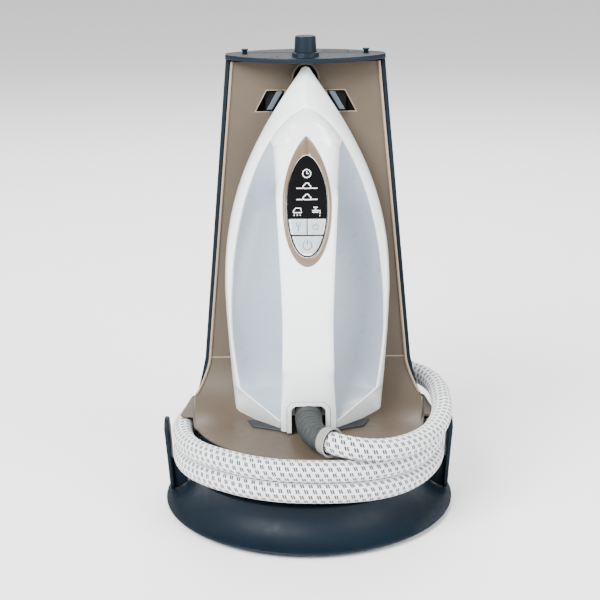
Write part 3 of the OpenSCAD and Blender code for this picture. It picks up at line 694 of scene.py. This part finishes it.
def make_ear_flank(rows, side):
    """The smooth slope by which the side of the sweep runs out onto the deck's ear."""
    rail = [row for row in rows if row[1] <= sweep_z(46.5)]
    rings = []
    for i, (y, z, w) in enumerate(rail):
        u = i / (len(rail) - 1)
        foot = Vector((lerp(86.5, w + 1, u ** 1.5), lerp(EAR_Y[1] - 3.5, y, ease(u) ** 0.7), DECK_Z + 0.12))
        start = Vector((w - 1.5, y, z + 0.05))
        middle = Vector((lerp(start.x, foot.x, 0.62), lerp(y, foot.y, 0.38), lerp(z, foot.z, 0.75)))
        ring = [start * (1 - t) ** 2 + middle * 2 * t * (1 - t) + foot * t * t for t in steps(0, 1, 12)]
        rings.append([Vector((side * p.x, p.y, p.z)) for p in ring])
    flank = loft("ear_flank_" + ("left" if side < 0 else "right"), rings, closed=False, angle=70)
    thick = flank.modifiers.new("thick", "SOLIDIFY")
    thick.thickness = 0.8 * MM
    thick.offset = -1 if flank.data.polygons[0].normal.z > 0 else 1
    finish_piece(flank, "station", "panel_taupe")


def make_side_bead(rows, side):
    """The rounded lip along the panel's side, down to where the sweep runs into the ear."""
    rings = []
    path = [row for row in rows if row[1] > sweep_z(47)]
    for i, (y, z, w) in enumerate(path):
        y0, z0, _ = path[max(i - 1, 0)]
        y1, z1, _ = path[min(i + 1, len(path) - 1)]
        tangent = Vector((0, y1 - y0, z1 - z0)).normalized()
        out = Vector((1, 0, 0)).cross(tangent)
        out = out if out.y < 0 or out.z > 0 else -out
        section = [(-1.7, -0.4), (-1.6, 0.8), (-1.2, 1.4), (-0.4, 1.6), (0.15, 1.2), (0.35, 0.3),
                   (0.35, -1.2)]
        rings.append([Vector((side * (w + a), y, z)) + out * b for a, b in section])
    bead = loft("panel_lip_" + ("left" if side < 0 else "right"), rings, angle=60)
    # painted highlight: the lip is coloured in the lighter lip_taupe for the light it catches
    finish_piece(bead, "station", "lip_taupe")


def make_clip(name, side):
    """A clip's block beside the soleplate, and the tongue behind the panel that moves it; the tongue is
    painted near-black as painted shade inside the slot.
    """
    body = name + "_clip"
    block_outline = [(side * x, s) for x, s in ((16.4, 231.4), (20.8, 231.4), (28.4, 218.2), (24.2, 218.2))]
    block = slab("clip_block_" + name, block_outline, -4, 7, dock)
    rounded(block, 0.5)
    finish_piece(block, body, "clip_slate", "clip_" + name)
    tongue_outline = [(side * x, s) for x, s in ((2.4, 237), (13, 242.3), (24, 242.3), (29.6, 229),
                                                 (29, 218.2), (22.4, 218.2), (15.6, 231), (2.4, 234))]
    tongue = slab("clip_tongue_" + name, tongue_outline, -6.4, -3.4, dock)
    rounded(tongue, 0.4)
    # painted shade: the tongue is coloured near-black so that it reads as the shade in the slot
    finish_piece(tongue, body, "shade_black")


def make_slot_rim(name, side):
    """The fine raised rim round a clip's slot."""
    outer = [(13.6, 233), (28.8, 233), (37.6, 216.6), (20.8, 216.6)]
    rings = []
    for (xi, si), (xo, so) in zip(CLIP_SLOT + CLIP_SLOT[:1], outer + outer[:1]):
        rings.append([dock(side * lerp(xi, xo, t), lerp(si, so, t), h)
                      for t, h in ((0, -0.6), (0, 0.2), (0.3, 0.42), (0.75, 0.35), (1, -0.1))])
    # painted highlight: the rim is coloured in the lighter lip_taupe for the light it catches
    finish_piece(loft("slot_rim_" + name, rings, closed=False, angle=50), "station", "lip_taupe")


def make_crease():
    """The fine raised line where the panel turns into the sweep."""
    y, z = PLATE_Y + CREASE_S * sin(LEAN), DECK_Z + CREASE_S * cos(LEAN)
    half = PANEL_LOW_W - 1.6
    rings = [[Vector((x, y, z)) + PANEL_OUT * h + PANEL_UP * v
              for v, h in ((-0.55, -0.2), (-0.3, 0.22), (0, 0.32), (0.3, 0.22), (0.55, -0.2))]
             for x in steps(-half, half, 24)]
    # painted highlight: the crease line is coloured in the lighter lip_taupe for the light it catches
    finish_piece(loft("panel_crease", rings, angle=60), "station", "lip_taupe")


def make_tip_hood():
    """A thin arch over the tip of the iron, with a near-black sheet inside it as painted shade."""
    inner = [(8.9, 240), (8.3, 243.6), (7.0, 246), (5.2, 248.4), (3.4, 249.8)]
    outer = [(10.2, 239.6), (9.6, 244.2), (8.2, 246.9), (6.1, 249.6), (3.9, 251.1)]
    band = outer + [(-x, s) for x, s in reversed(outer)] + [(-x, s) for x, s in inner] + list(reversed(inner))
    hood = slab("tip_hood", band, -0.3, 8.6, dock)
    rounded(hood, 0.35)
    finish_piece(hood, "station", "panel_taupe")
    # painted shade: a near-black sheet inside the arch stands for the shade under it
    pocket = slab("tip_painted_shade", inner + [(-x, s) for x, s in reversed(inner)], 0.1, 1.3, dock)
    finish_piece(pocket, "station", "shade_black", "tip_pad")


make_dock()

# ---------------------------------------------------------------- top and lock

def make_knob():
    top_z = COVER_Z + 15
    wall = [(KNOB_R, COVER_Z + 1.6), (KNOB_R - 0.1, COVER_Z + 4)]
    shoulder = [(KNOB_R - 1.8 + 1.2 * cos(radians(a)), top_z - 1.4 + 1.2 * sin(radians(a)))
                for a in range(0, 91, 15)]
    dome = [(4, top_z - 0.05), (0.01, top_z)]
    place = Matrix.Translation((0, KNOB_Y, 0))
    knob = spin("knob", [(0.01, COVER_Z + 1.6)] + wall + shoulder + dome, place, n=96, angle=60)
    finish_piece(knob, "lock", "station_navy", "lock_knob")
    flare = [(9.8 - 1.1 * t, COVER_Z + 3.3 * (1 - (1 - t) ** 2) + 0.1) for t in steps(0, 1, 8)]
    section = [(8.5, COVER_Z + 0.1)] + flare[:1] + flare + [(8.35, COVER_Z + 3.2)]
    collar = spin("knob_collar", section, place, n=96, angle=60)
    finish_piece(collar, "station", "station_navy")


make_knob()

# CAD nodes that are shown as they are, and how far their edges are rounded
SHOWN_NODES = {"top_cover": 0.7, "tank_lid": 0.7, "tower_tray": 0.9, "lock_yoke": 0.3, "fill_flap": 0.4,
               "soleplate": 0.8, "heel_pad": 0.5, "control_fascia": 0.2, "steam_trigger": 1.2,
               "drain_cap": 0.6, "water_tank": 1.0, "base_plate": 0.4, "feet": 0.5, "heat_shield": 0.4,
               "mains_gland": 0.5}
for name, width in SHOWN_NODES.items():
    soften(name, width)

# ---------------------------------------------------------------- iron: its lines

def outline(s):
    """Half width of the body at the skirt."""
    if s < SOLE_WIDE_S:
        return IRON_W - 6.8 * ((SOLE_WIDE_S - s) / SOLE_WIDE_S) ** 1.2
    u = min(1.0, (s - SOLE_WIDE_S) / (IRON_L + 4 - SOLE_WIDE_S))
    wedge = IRON_W * (1 - u ** 2.35) ** 1.15
    if s <= IRON_L - TIP_R:
        return wedge
    return min(wedge, sqrt(max(0, TIP_R * TIP_R - (s - IRON_L + TIP_R) ** 2)))


def ridge_x(s):
    """Half width between the two ridges, which meet at the nose."""
    if s < HEEL_S:
        return max(20.5, 48.6 - (HEEL_S - s) * 1.24)
    if s < RIDGE_WIDE_S:
        return RIDGE_W - 6 * ((RIDGE_WIDE_S - s) / 50) ** 1.6
    if s < NOSE_S:
        return RIDGE_W * (1 - ((s - RIDGE_WIDE_S) / (NOSE_S - RIDGE_WIDE_S)) ** 2.25) ** 0.64
    return 0


def ridge_h(s):
    if s < -1.6:
        return 47.4 + (s + 1.6) * 1.2276
    if s < HEEL_S:
        return RIDGE_H + (HEEL_S - s) * 0.24
    if s < NOSE_S:
        return RIDGE_H - (RIDGE_H - NOSE_H) * ease((s - HEEL_S) / (NOSE_S - HEEL_S))
    return NOSE_H - 20.5 * ((s - NOSE_S) / (IRON_L - NOSE_S)) ** 1.25


def arch(s):
    """Height of the handle's top line."""
    if s < PEAK_S:
        return PEAK_H - (PEAK_H - HEEL_H) * ((PEAK_S - s) / 122) ** 1.6
    return PEAK_H - (PEAK_H - NOSE_H) * ((s - PEAK_S) / (NOSE_S - PEAK_S)) ** 2.5


def facet_x(s, z):
    """The flat facet at each side of the heel."""
    return (37.3 + 0.6236 * s - 0.508 * z) / 0.594


def wall_point(s, t):
    """A point of the outer wall: t is 0 at the skirt and 1 on the ridge."""
    z = SKIRT_Z + (ridge_h(s) - SKIRT_Z) * t
    x = ridge_x(s) + (outline(s) - ridge_x(s)) * max(0, 1 - t ** 1.8) ** 0.8
    return min(x, facet_x(s, z)), z


def scoop_deep(s):
    heel = ridge_h(s) - arch(s) + 12 if s < HEEL_S else 0
    return max(0.4, 14 * ease((194 - s) / 50) * ease((s - 2) / 40), heel)


def scoop_z(s, q):
    return ridge_h(s) - 0.5 - scoop_deep(s) * (1 - abs(q) ** 3)


def strip_x(s):
    """Half width of the white strip between the scoops."""
    tipwards = clamp01((s - RIDGE_WIDE_S) / 126)
    heelwards = clamp01((RIDGE_WIDE_S - s) / RIDGE_WIDE_S)
    return 17.4 + 6.2 * tipwards ** 1.4 + 2.2 * heelwards ** 1.5


def handle_x(s):
    """Half width of the handle; past the scoops it widens out to the ridge."""
    return lerp(strip_x(s), max(0.5, ridge_x(s) - 0.2), ease((s - 190) / 9)) if s < NOSE_S else 0.5


def lens_x(s, s0, s1, w, low, high):
    """Half width of a panel that is round towards the heel and pointed towards the tip."""
    mid = 150
    if s < mid:
        return w * max(0, 1 - ((mid - s) / (mid - s0)) ** 2) ** low
    return w * max(0, 1 - ((s - mid) / (s1 - mid)) ** 2) ** high


# ---------------------------------------------------------------- iron: its shells

def heel_cutter():
    """Everything below the plane that the iron stands on."""
    low, high = DECK_Z - 60, DECK_Z + HEEL_LIFT
    corners = [(-90, -90), (90, -90), (90, 60), (-90, 60)]
    return loft("heel_cutter", [[Vector((x, y, z)) for x, y in corners] for z in (low, high)])


def u_outline(half, top, r, low=-60):
    """A slot that is open downwards, with round upper corners."""
    arc = [(half - r + r * cos(radians(a)), top - r + r * sin(radians(a))) for a in range(0, 91, 10)]
    return [(half, low)] + arc + [(-x, s) for x, s in reversed(arc)] + [(-half, low)]


def body_section(s):
    half = []
    x0, z0 = wall_point(s, 0)
    half.append((max(0.2, x0 - 2.2), z0 + 1.0))
    half.append((max(0.3, x0 - 1.6), z0 - 0.1))
    half.append((max(0.35, x0 - 0.5), z0))
    for t in (0.03, 0.1, 0.2, 0.3, 0.4, 0.5, 0.6, 0.7, 0.78, 0.85, 0.91, 0.95, 0.98, 1):
        x, z = wall_point(s, t)
        half.append((max(0.2 - 0.1 * t, x), z))
    rx, rh = ridge_x(s), ridge_h(s)
    if s < NOSE_S:
        drop = 2.4 if SCOOP_S[0] - 1 < s < SCOOP_S[1] else 0.1
        half += [(max(0.1, rx - q), rh - fall) for q, fall in ((0.4, 0.15), (0.9, 0.7), (1.5, 1.6))]
        half += [(max(0.02 + 0.08 * q, q * (rx - 1.6)), scoop_z(s, q) - drop)
                 for q in (0.95, 0.8, 0.6, 0.4, 0.2)]
    else:
        half += [(0.08 - 0.008 * k, rh) for k in range(8)]
    return [iron(x, s, z) for x, z in half] + [iron(-x, s, z) for x, z in reversed(half)]


def make_body():
    stations = steps(-13, HEEL_S, 24) + steps(22.5, 190, 60) + steps(191.5, 215, 18) + steps(216, 240, 24)
    stations += [IRON_L - TIP_R * (1 - sin(radians(a))) for a in range(-10, 90, 8)]
    body = loft("iron_body", [body_section(s) for s in sorted(stations)], closed=False, angle=38)
    bm = bmesh.new()
    bm.from_mesh(body.data)
    plane = Vector((0, 0, DECK_Z + HEEL_LIFT)) * MM
    everything = bm.verts[:] + bm.edges[:] + bm.faces[:]
    bmesh.ops.bisect_plane(bm, geom=everything, plane_co=plane, plane_no=(0, 0, -1), clear_outer=True)
    inner = (NOTCH_W + LINER) * MM
    notch_end = iron(0, NOTCH_S + LINER, 0)
    # the notch's liner stands in for the walls inside it
    hidden = []
    for face in bm.faces:
        middle = face.calc_center_median()
        beside_notch = abs(middle.x) < inner + 0.0012 and middle.y < -0.006
        if beside_notch and (middle / MM - notch_end).dot(PANEL_UP) < 0:
            hidden.append(face)
    bmesh.ops.delete(bm, geom=hidden, context="FACES")
    # the ridges are blended into one another where they meet at the nose
    low, high = (iron(0, s, 12) for s in (203, 236))
    nose = [v for v in bm.verts if (v.co / MM - low).dot(PANEL_UP) > 0 > (v.co / MM - high).dot(PANEL_UP)
            and (v.co / MM - low).dot(PANEL_OUT) > 0]
    for _ in range(30):
        bmesh.ops.smooth_vert(bm, verts=nose, factor=0.5, use_axis_x=True, use_axis_y=True, use_axis_z=True)
    bm.to_mesh(body.data)
    bm.free()
    finish_piece(body, "iron", "iron_white", "body_shell")


def make_scoops():
    """The satin panel that is sunk between the ridge and the handle."""
    rings = []
    for s in steps(*SCOOP_S, 100):
        w = ridge_x(s) - 1.5
        rings.append([iron(w * q, s, scoop_z(s, q)) for q in steps(-1, 1, 48)])
    panel = loft("scoop", rings, closed=False, angle=40)
    thick = panel.modifiers.new("thick", "SOLIDIFY")
    thick.thickness = 1.6 * MM
    thick.offset = -1 if panel.data.polygons[len(panel.data.polygons) // 2].normal.y < 0 else 1
    half = NOTCH_W + LINER + 0.2
    notch = slab("scoop_notch", [(-half, -30), (half, -30), (half, NOTCH_S + LINER + 0.2),
                                 (-half, NOTCH_S + LINER + 0.2)], 10, 120, iron)
    finish_piece(cut(panel, notch), "iron", "iron_grey", "scoop_panel")


def handle_section(s):
    """A rounded section of the handle; over the fingers' gap it is a bar, elsewhere it stands on the body."""
    top = arch(s)
    flat = ease((s - 188) / 10)
    foot = lerp(scoop_z(s, min(1, handle_x(s) / max(1, ridge_x(s)))) - 1.5, ridge_h(s) - 0.15, flat)
    bar = arch(s) - GRIP_T
    opening = ease((s - GAP_S[0] + 5) / 11) * ease((GAP_S[1] + 5 - s) / 11)
    low = lerp(min(foot, top - 0.2), bar, opening)
    half = handle_x(s)
    power_top = lerp(lerp(0.34, 0.5, ease((s - 140) / 50)), 0.9, flat)
    power_low = lerp(0.12, 0.42, opening)
    middle = lerp(lerp(low, top, lerp(0.12, 0.02, flat)), lerp(low, top, 0.5), opening)
    ring = []
    for a in steps(0, 360, 72)[:-1]:
        c, d = cos(radians(a)), sin(radians(a))
        power = power_top if d >= 0 else power_low
        x = half * (1 if c > 0 else -1) * abs(c) ** power
        z = middle + (top - middle) * d ** power if d >= 0 else middle - (middle - low) * (-d) ** power
        ring.append(iron(x, s, z))
    return ring


def make_handle():
    stations = steps(-14, 26, 16) + steps(27, 46, 24) + steps(48, 148, 40)
    stations += steps(149, 170, 26) + steps(171.5, 217.5, 60)
    handle = loft("handle", [handle_section(s) for s in stations], angle=50)
    notch = slab("notch_cutter", u_outline(NOTCH_W + LINER, NOTCH_S + LINER, 7.4), 10, 120, iron)
    handle = cut(handle, heel_cutter(), notch)
    crisp(handle, 38)
    finish_piece(handle, "iron", "iron_white", "handle_top", "handle_under")


def make_liner():
    """The lining of the notch that the cord guard comes out of, with a fine seam round it."""
    outer = u_outline(NOTCH_W + LINER - 0.35, NOTCH_S + LINER - 0.35, 7, low=-20)
    inner = u_outline(NOTCH_W, NOTCH_S, 4.5, low=-20)
    ring = outer + list(reversed(inner))
    rows = []
    for level in (0, 1):
        rows.append([iron(x, s, lerp(18, arch(max(-14, s)) - 0.05, level)) for x, s in ring])
    walls = cut(loft("notch_walls", rows), heel_cutter())
    floor = cut(slab("notch_floor", outer, 17, 20, iron), heel_cutter())
    liner = joined("notch_liner", [walls, floor])
    crisp(liner, 35)
    finish_piece(liner, "iron", "iron_white", "heel_liner")


make_body()
make_scoops()
make_handle()
make_liner()

# ---------------------------------------------------------------- iron: its control panel

def lens_line(s0, s1, w, low, high, n=120):
    """Points round a lens, starting at the end towards the heel."""
    right = []
    for k in range(n // 2 + 1):
        s = (s0 + s1) / 2 - (s1 - s0) / 2 * cos(2 * pi * k / n)
        right.append((lens_x(s, s0, s1, w, low, high), s))
    return right + [(-x, s) for x, s in reversed(right[1:-1])]


def make_bezel():
    inner = lens_line(115.9, 184.5, 13.9, 0.45, 0.55)
    outer = lens_line(110, 197.5, 16.4, 0.5, 0.8)
    profile = ((0, -1.0), (0.0, 0.15), (0.1, 0.7), (0.35, 1.15), (0.7, 1.25), (0.93, 0.9), (1.0, 0.2),
               (1.0, -1.5))
    rings = []
    for (xi, si), (xo, so) in zip(inner, outer):
        ring = []
        for across, rise in profile:
            x, s = lerp(xo, xi, across), lerp(so, si, across)
            ring.append(iron(x, s, arch(s) + rise))
        rings.append(ring)
    m, n = len(profile), len(rings)
    faces = [(k * m + i, ((k + 1) % n) * m + i, ((k + 1) % n) * m + i + 1, k * m + i + 1)
             for k in range(n) for i in range(m - 1)]
    bezel = build("bezel_ring", [p for ring in rings for p in ring], faces, 40)
    finish_piece(bezel, "iron", "bezel_bronze", "bezel")


def make_crest():
    """The narrow dark facet between the tip of the display and the tip of the bezel."""
    section = ((-1, 1.05), (-0.6, 1.34), (0, 1.5), (0.6, 1.34), (1, 1.05))
    rows = []
    for s in steps(184.8, 196.6, 12):
        half = 0.25 + 1.35 * sin(pi * clamp01((s - 183.5) / 13.4)) ** 0.6
        rows.append([iron(x * half, s, arch(s) + lift) for x, lift in section])
    finish_piece(loft("bezel_crest", rows, closed=False, angle=20), "iron", "crest_bronze")


def stroke(points, width, lift):
    """Points and faces of a thin flat line drawn on the control panel; points are (x, s)."""
    pts = [Vector(p) for p in points]
    last = len(pts) - 1
    out = []
    for i, p in enumerate(pts):
        t = (pts[min(i + 1, last)] - pts[max(i - 1, 0)]).normalized()
        side = Vector((-t.y, t.x)) * width / 2
        for q in (p + side, p - side):
            out.append(iron(q.x, q.y, arch(q.y) + lift))
    return out, [(2 * i, 2 * i + 2, 2 * i + 3, 2 * i + 1) for i in range(last)]


def circle(x, s, r, a0=0, a1=360, n=28):
    return [(x + r * cos(radians(a)), s + r * sin(radians(a))) for a in steps(a0, a1, n)]


def make_marks(name, strokes, lift, slot, body, width):
    """One piece out of many drawn lines."""
    points, faces = [], []
    for line in strokes:
        p, f = stroke(line, width, lift)
        faces += [tuple(i + len(points) for i in face) for face in f]
        points += p
    marks = build(name, points, faces)
    thick = marks.modifiers.new("thick", "SOLIDIFY")
    thick.thickness = 0.06 * MM
    finish_piece(marks, body, slot)


def cloud(s):
    """A puff of steam on a line."""
    return [[(-7, s - 1.5), (-2.6, s - 1.5)], [(2.6, s - 1.5), (7, s - 1.5)],
            circle(-1.3, s - 0.4, 1.2, 90, 270, 12), circle(0.1, s + 0.5, 1.5, 10, 170, 14),
            circle(1.5, s - 0.5, 1.1, -90, 90, 12), [(-1.3, s - 1.6), (1.5, s - 1.6)]]


def key_outline(top, low, left, gap, n=18):
    """Outline of a key inside the display's lens; left bounds it, or is None where the lens does."""
    points = [(lens_x(s, *DISPLAY_LENS) - gap, s) for s in steps(low, top, n)]
    for s in steps(top, low, n):
        points.append((-(lens_x(s, *DISPLAY_LENS) - gap) if left is None else left, s))
    return points


def make_key(name, outline, node):
    """A key that follows the handle's curve, with softened edges."""
    rows = [[iron(x, s, arch(s) + level) for x, s in outline] for level in (-1.5, 1.2)]
    key = loft(name, rows, angle=50)
    rounded(key, 0.3)
    finish_piece(key, node, "button_silver", name.replace("key_", "button_"))


def make_keys():
    side = key_outline(141, 132.6, 0.85, 2.1)
    power = key_outline(130.1, 119.4, None, 2.0)
    make_key("key_right", side, "key_right")
    make_key("key_left", [(-x, s) for x, s in reversed(side)], "key_left")
    make_key("key_power", power, "key_power")


def make_icons():
    clock = [circle(0, 171.7, 2.7), [(0, 173.4), (0, 171.7), (1.3, 171.7)]]
    small_iron = [[(-9, 145.9), (-9, 147.2), (-7.6, 148.8), (-4.2, 148.8), (-3.6, 145.9), (-9, 145.9)]]
    small_iron += [[(x, 144.6), (x - 0.2, 143.9)] for x in (-8.4, -6.4, -4.4)]
    tap = [[(3.4, 147.2), (8.6, 147.2), (8.6, 145.2)], [(5.6, 147.2), (5.6, 149.2)],
           [(4.2, 149.3), (7.0, 149.3)], [(3.4, 146.1), (7.4, 146.1)], [(8.2, 144.2), (8.4, 143.6)]]
    on_display = clock + cloud(163.4) + cloud(156) + small_iron + tap
    on_power = [circle(0, 124.4, 2.9, 120, 420), [(0, 124.9), (0, 128)]]
    on_left = [circle(-5.8, 138.3, 1.3, 130, 410, 14), [(-5.8, 137), (-5.8, 133.8)]]
    on_right = [circle(5.6, 136.6, 1.9, 0, 360, 20), [(5.6, 136.6), (5.6, 137.9)]]
    make_marks("display_icons", on_display, 0.76, "mark_white", "iron", 0.55)
    make_marks("power_mark", on_power, 1.36, "mark_dark", "key_power", 0.5)
    make_marks("left_mark", on_left, 1.36, "mark_dark", "key_left", 0.4)
    make_marks("right_mark", on_right, 1.36, "mark_dark", "key_right", 0.4)


make_bezel()
make_crest()
make_keys()
make_icons()

# ---------------------------------------------------------------- cord guard

GUARD = [(0, -24, 87), (0, -31, 83.6), (0, -39.5, 80.4), (0.2, -48, 78.2), (1, -57, 77), (3, -65.5, 76.4),
         (6.5, -73.5, 76.1), (11.5, -79.5, 76)]


def make_guard_boot():
    """A ribbed rubber boot: rings of equal width with grooves between them."""
    line = spline(GUARD, 24)
    frames = hose_frames(line)
    total = line_length(line)
    rings, run = [], 0
    for i, (p, (a, b)) in enumerate(zip(line, frames)):
        run += (p - line[i - 1]).length if i else 0
        groove = abs(((run / 4.6) % 1) - 0.5) * 2
        r = lerp(9.9, 8.6, run / total) - 1.0 * ease((groove - 0.62) / 0.22)
        rings.append([p + r * (cos(2 * pi * k / 40) * a + sin(2 * pi * k / 40) * b) for k in range(40)])
    boot = loft("guard_boot", rings, angle=60)
    finish_piece(boot, "iron", "guard_rubber", "cord_guard")


def make_guard_ring():
    """The flared ring at the boot's end; the hose comes out of it with a dark gap round it."""
    axis = Vector((cos(radians(-42)), sin(radians(-42)), 0))
    place = Matrix.Translation(GUARD[-1]) @ axis.to_track_quat("Z", "Y").to_matrix().to_4x4()
    outside = [(9.0, -1.6), (9.3, -0.6), (9.35, 1.5), (9.7, 3.4), (10.3, 4.9), (10.35, 5.5), (10.0, 5.8)]
    inside = [(9.4, 5.6), (8.9, 4.6), (8.5, 3.0), (8.2, 0.5), (8.2, -1.6)]
    ring = spin("guard_end_ring", outside + inside, place, n=96, angle=60)
    finish_piece(ring, "iron", "ring_grey", "guard_ring")


make_guard_boot()
make_guard_ring()

# ---------------------------------------------------------------- floor and lights

def add_light(name, place, target, size, power):
    data = bpy.data.lights.new(name, "AREA")
    data.shape = "RECTANGLE"
    data.size, data.size_y = size
    data.energy = power
    light = bpy.data.objects.new(name, data)
    light.location = place
    light.rotation_euler = (Vector(target) - Vector(place)).to_track_quat("-Z", "Y").to_euler()
    bpy.context.scene.collection.objects.link(light)


def make_stage():
    corners = ((-1, -1), (1, -1), (1, 1), (-1, 1))
    floor = build("floor", [(x * FLOOR_HALF, y * FLOOR_HALF, 0) for x, y in corners], [(0, 1, 2, 3)])
    s = Shader("floor_paper")
    s.set(Base_Color=s.mix(s.noise(400, 2), (0.93, 0.93, 0.93, 1), (0.96, 0.96, 0.96, 1)))
    s.set(Roughness=0.8)
    floor.data.materials.append(s.material)
    world = bpy.data.worlds.new("studio")
    bpy.context.scene.world = world
    world.use_nodes = True
    world.node_tree.nodes["Background"].inputs["Color"].default_value = (1, 1, 1, 1)
    world.node_tree.nodes["Background"].inputs["Strength"].default_value = WORLD_STRENGTH
    add_light("key", (-1.1, -1.3, 1.6), (0, 0, 0.15), (1.3, 1.3), 135)
    add_light("fill", (1.5, -1.1, 0.9), (0, 0, 0.15), (1.1, 1.4), 44)
    add_light("back", (0.1, 1.2, 1.4), (0, 0, 0.2), (1.4, 0.7), 36)


make_stage()
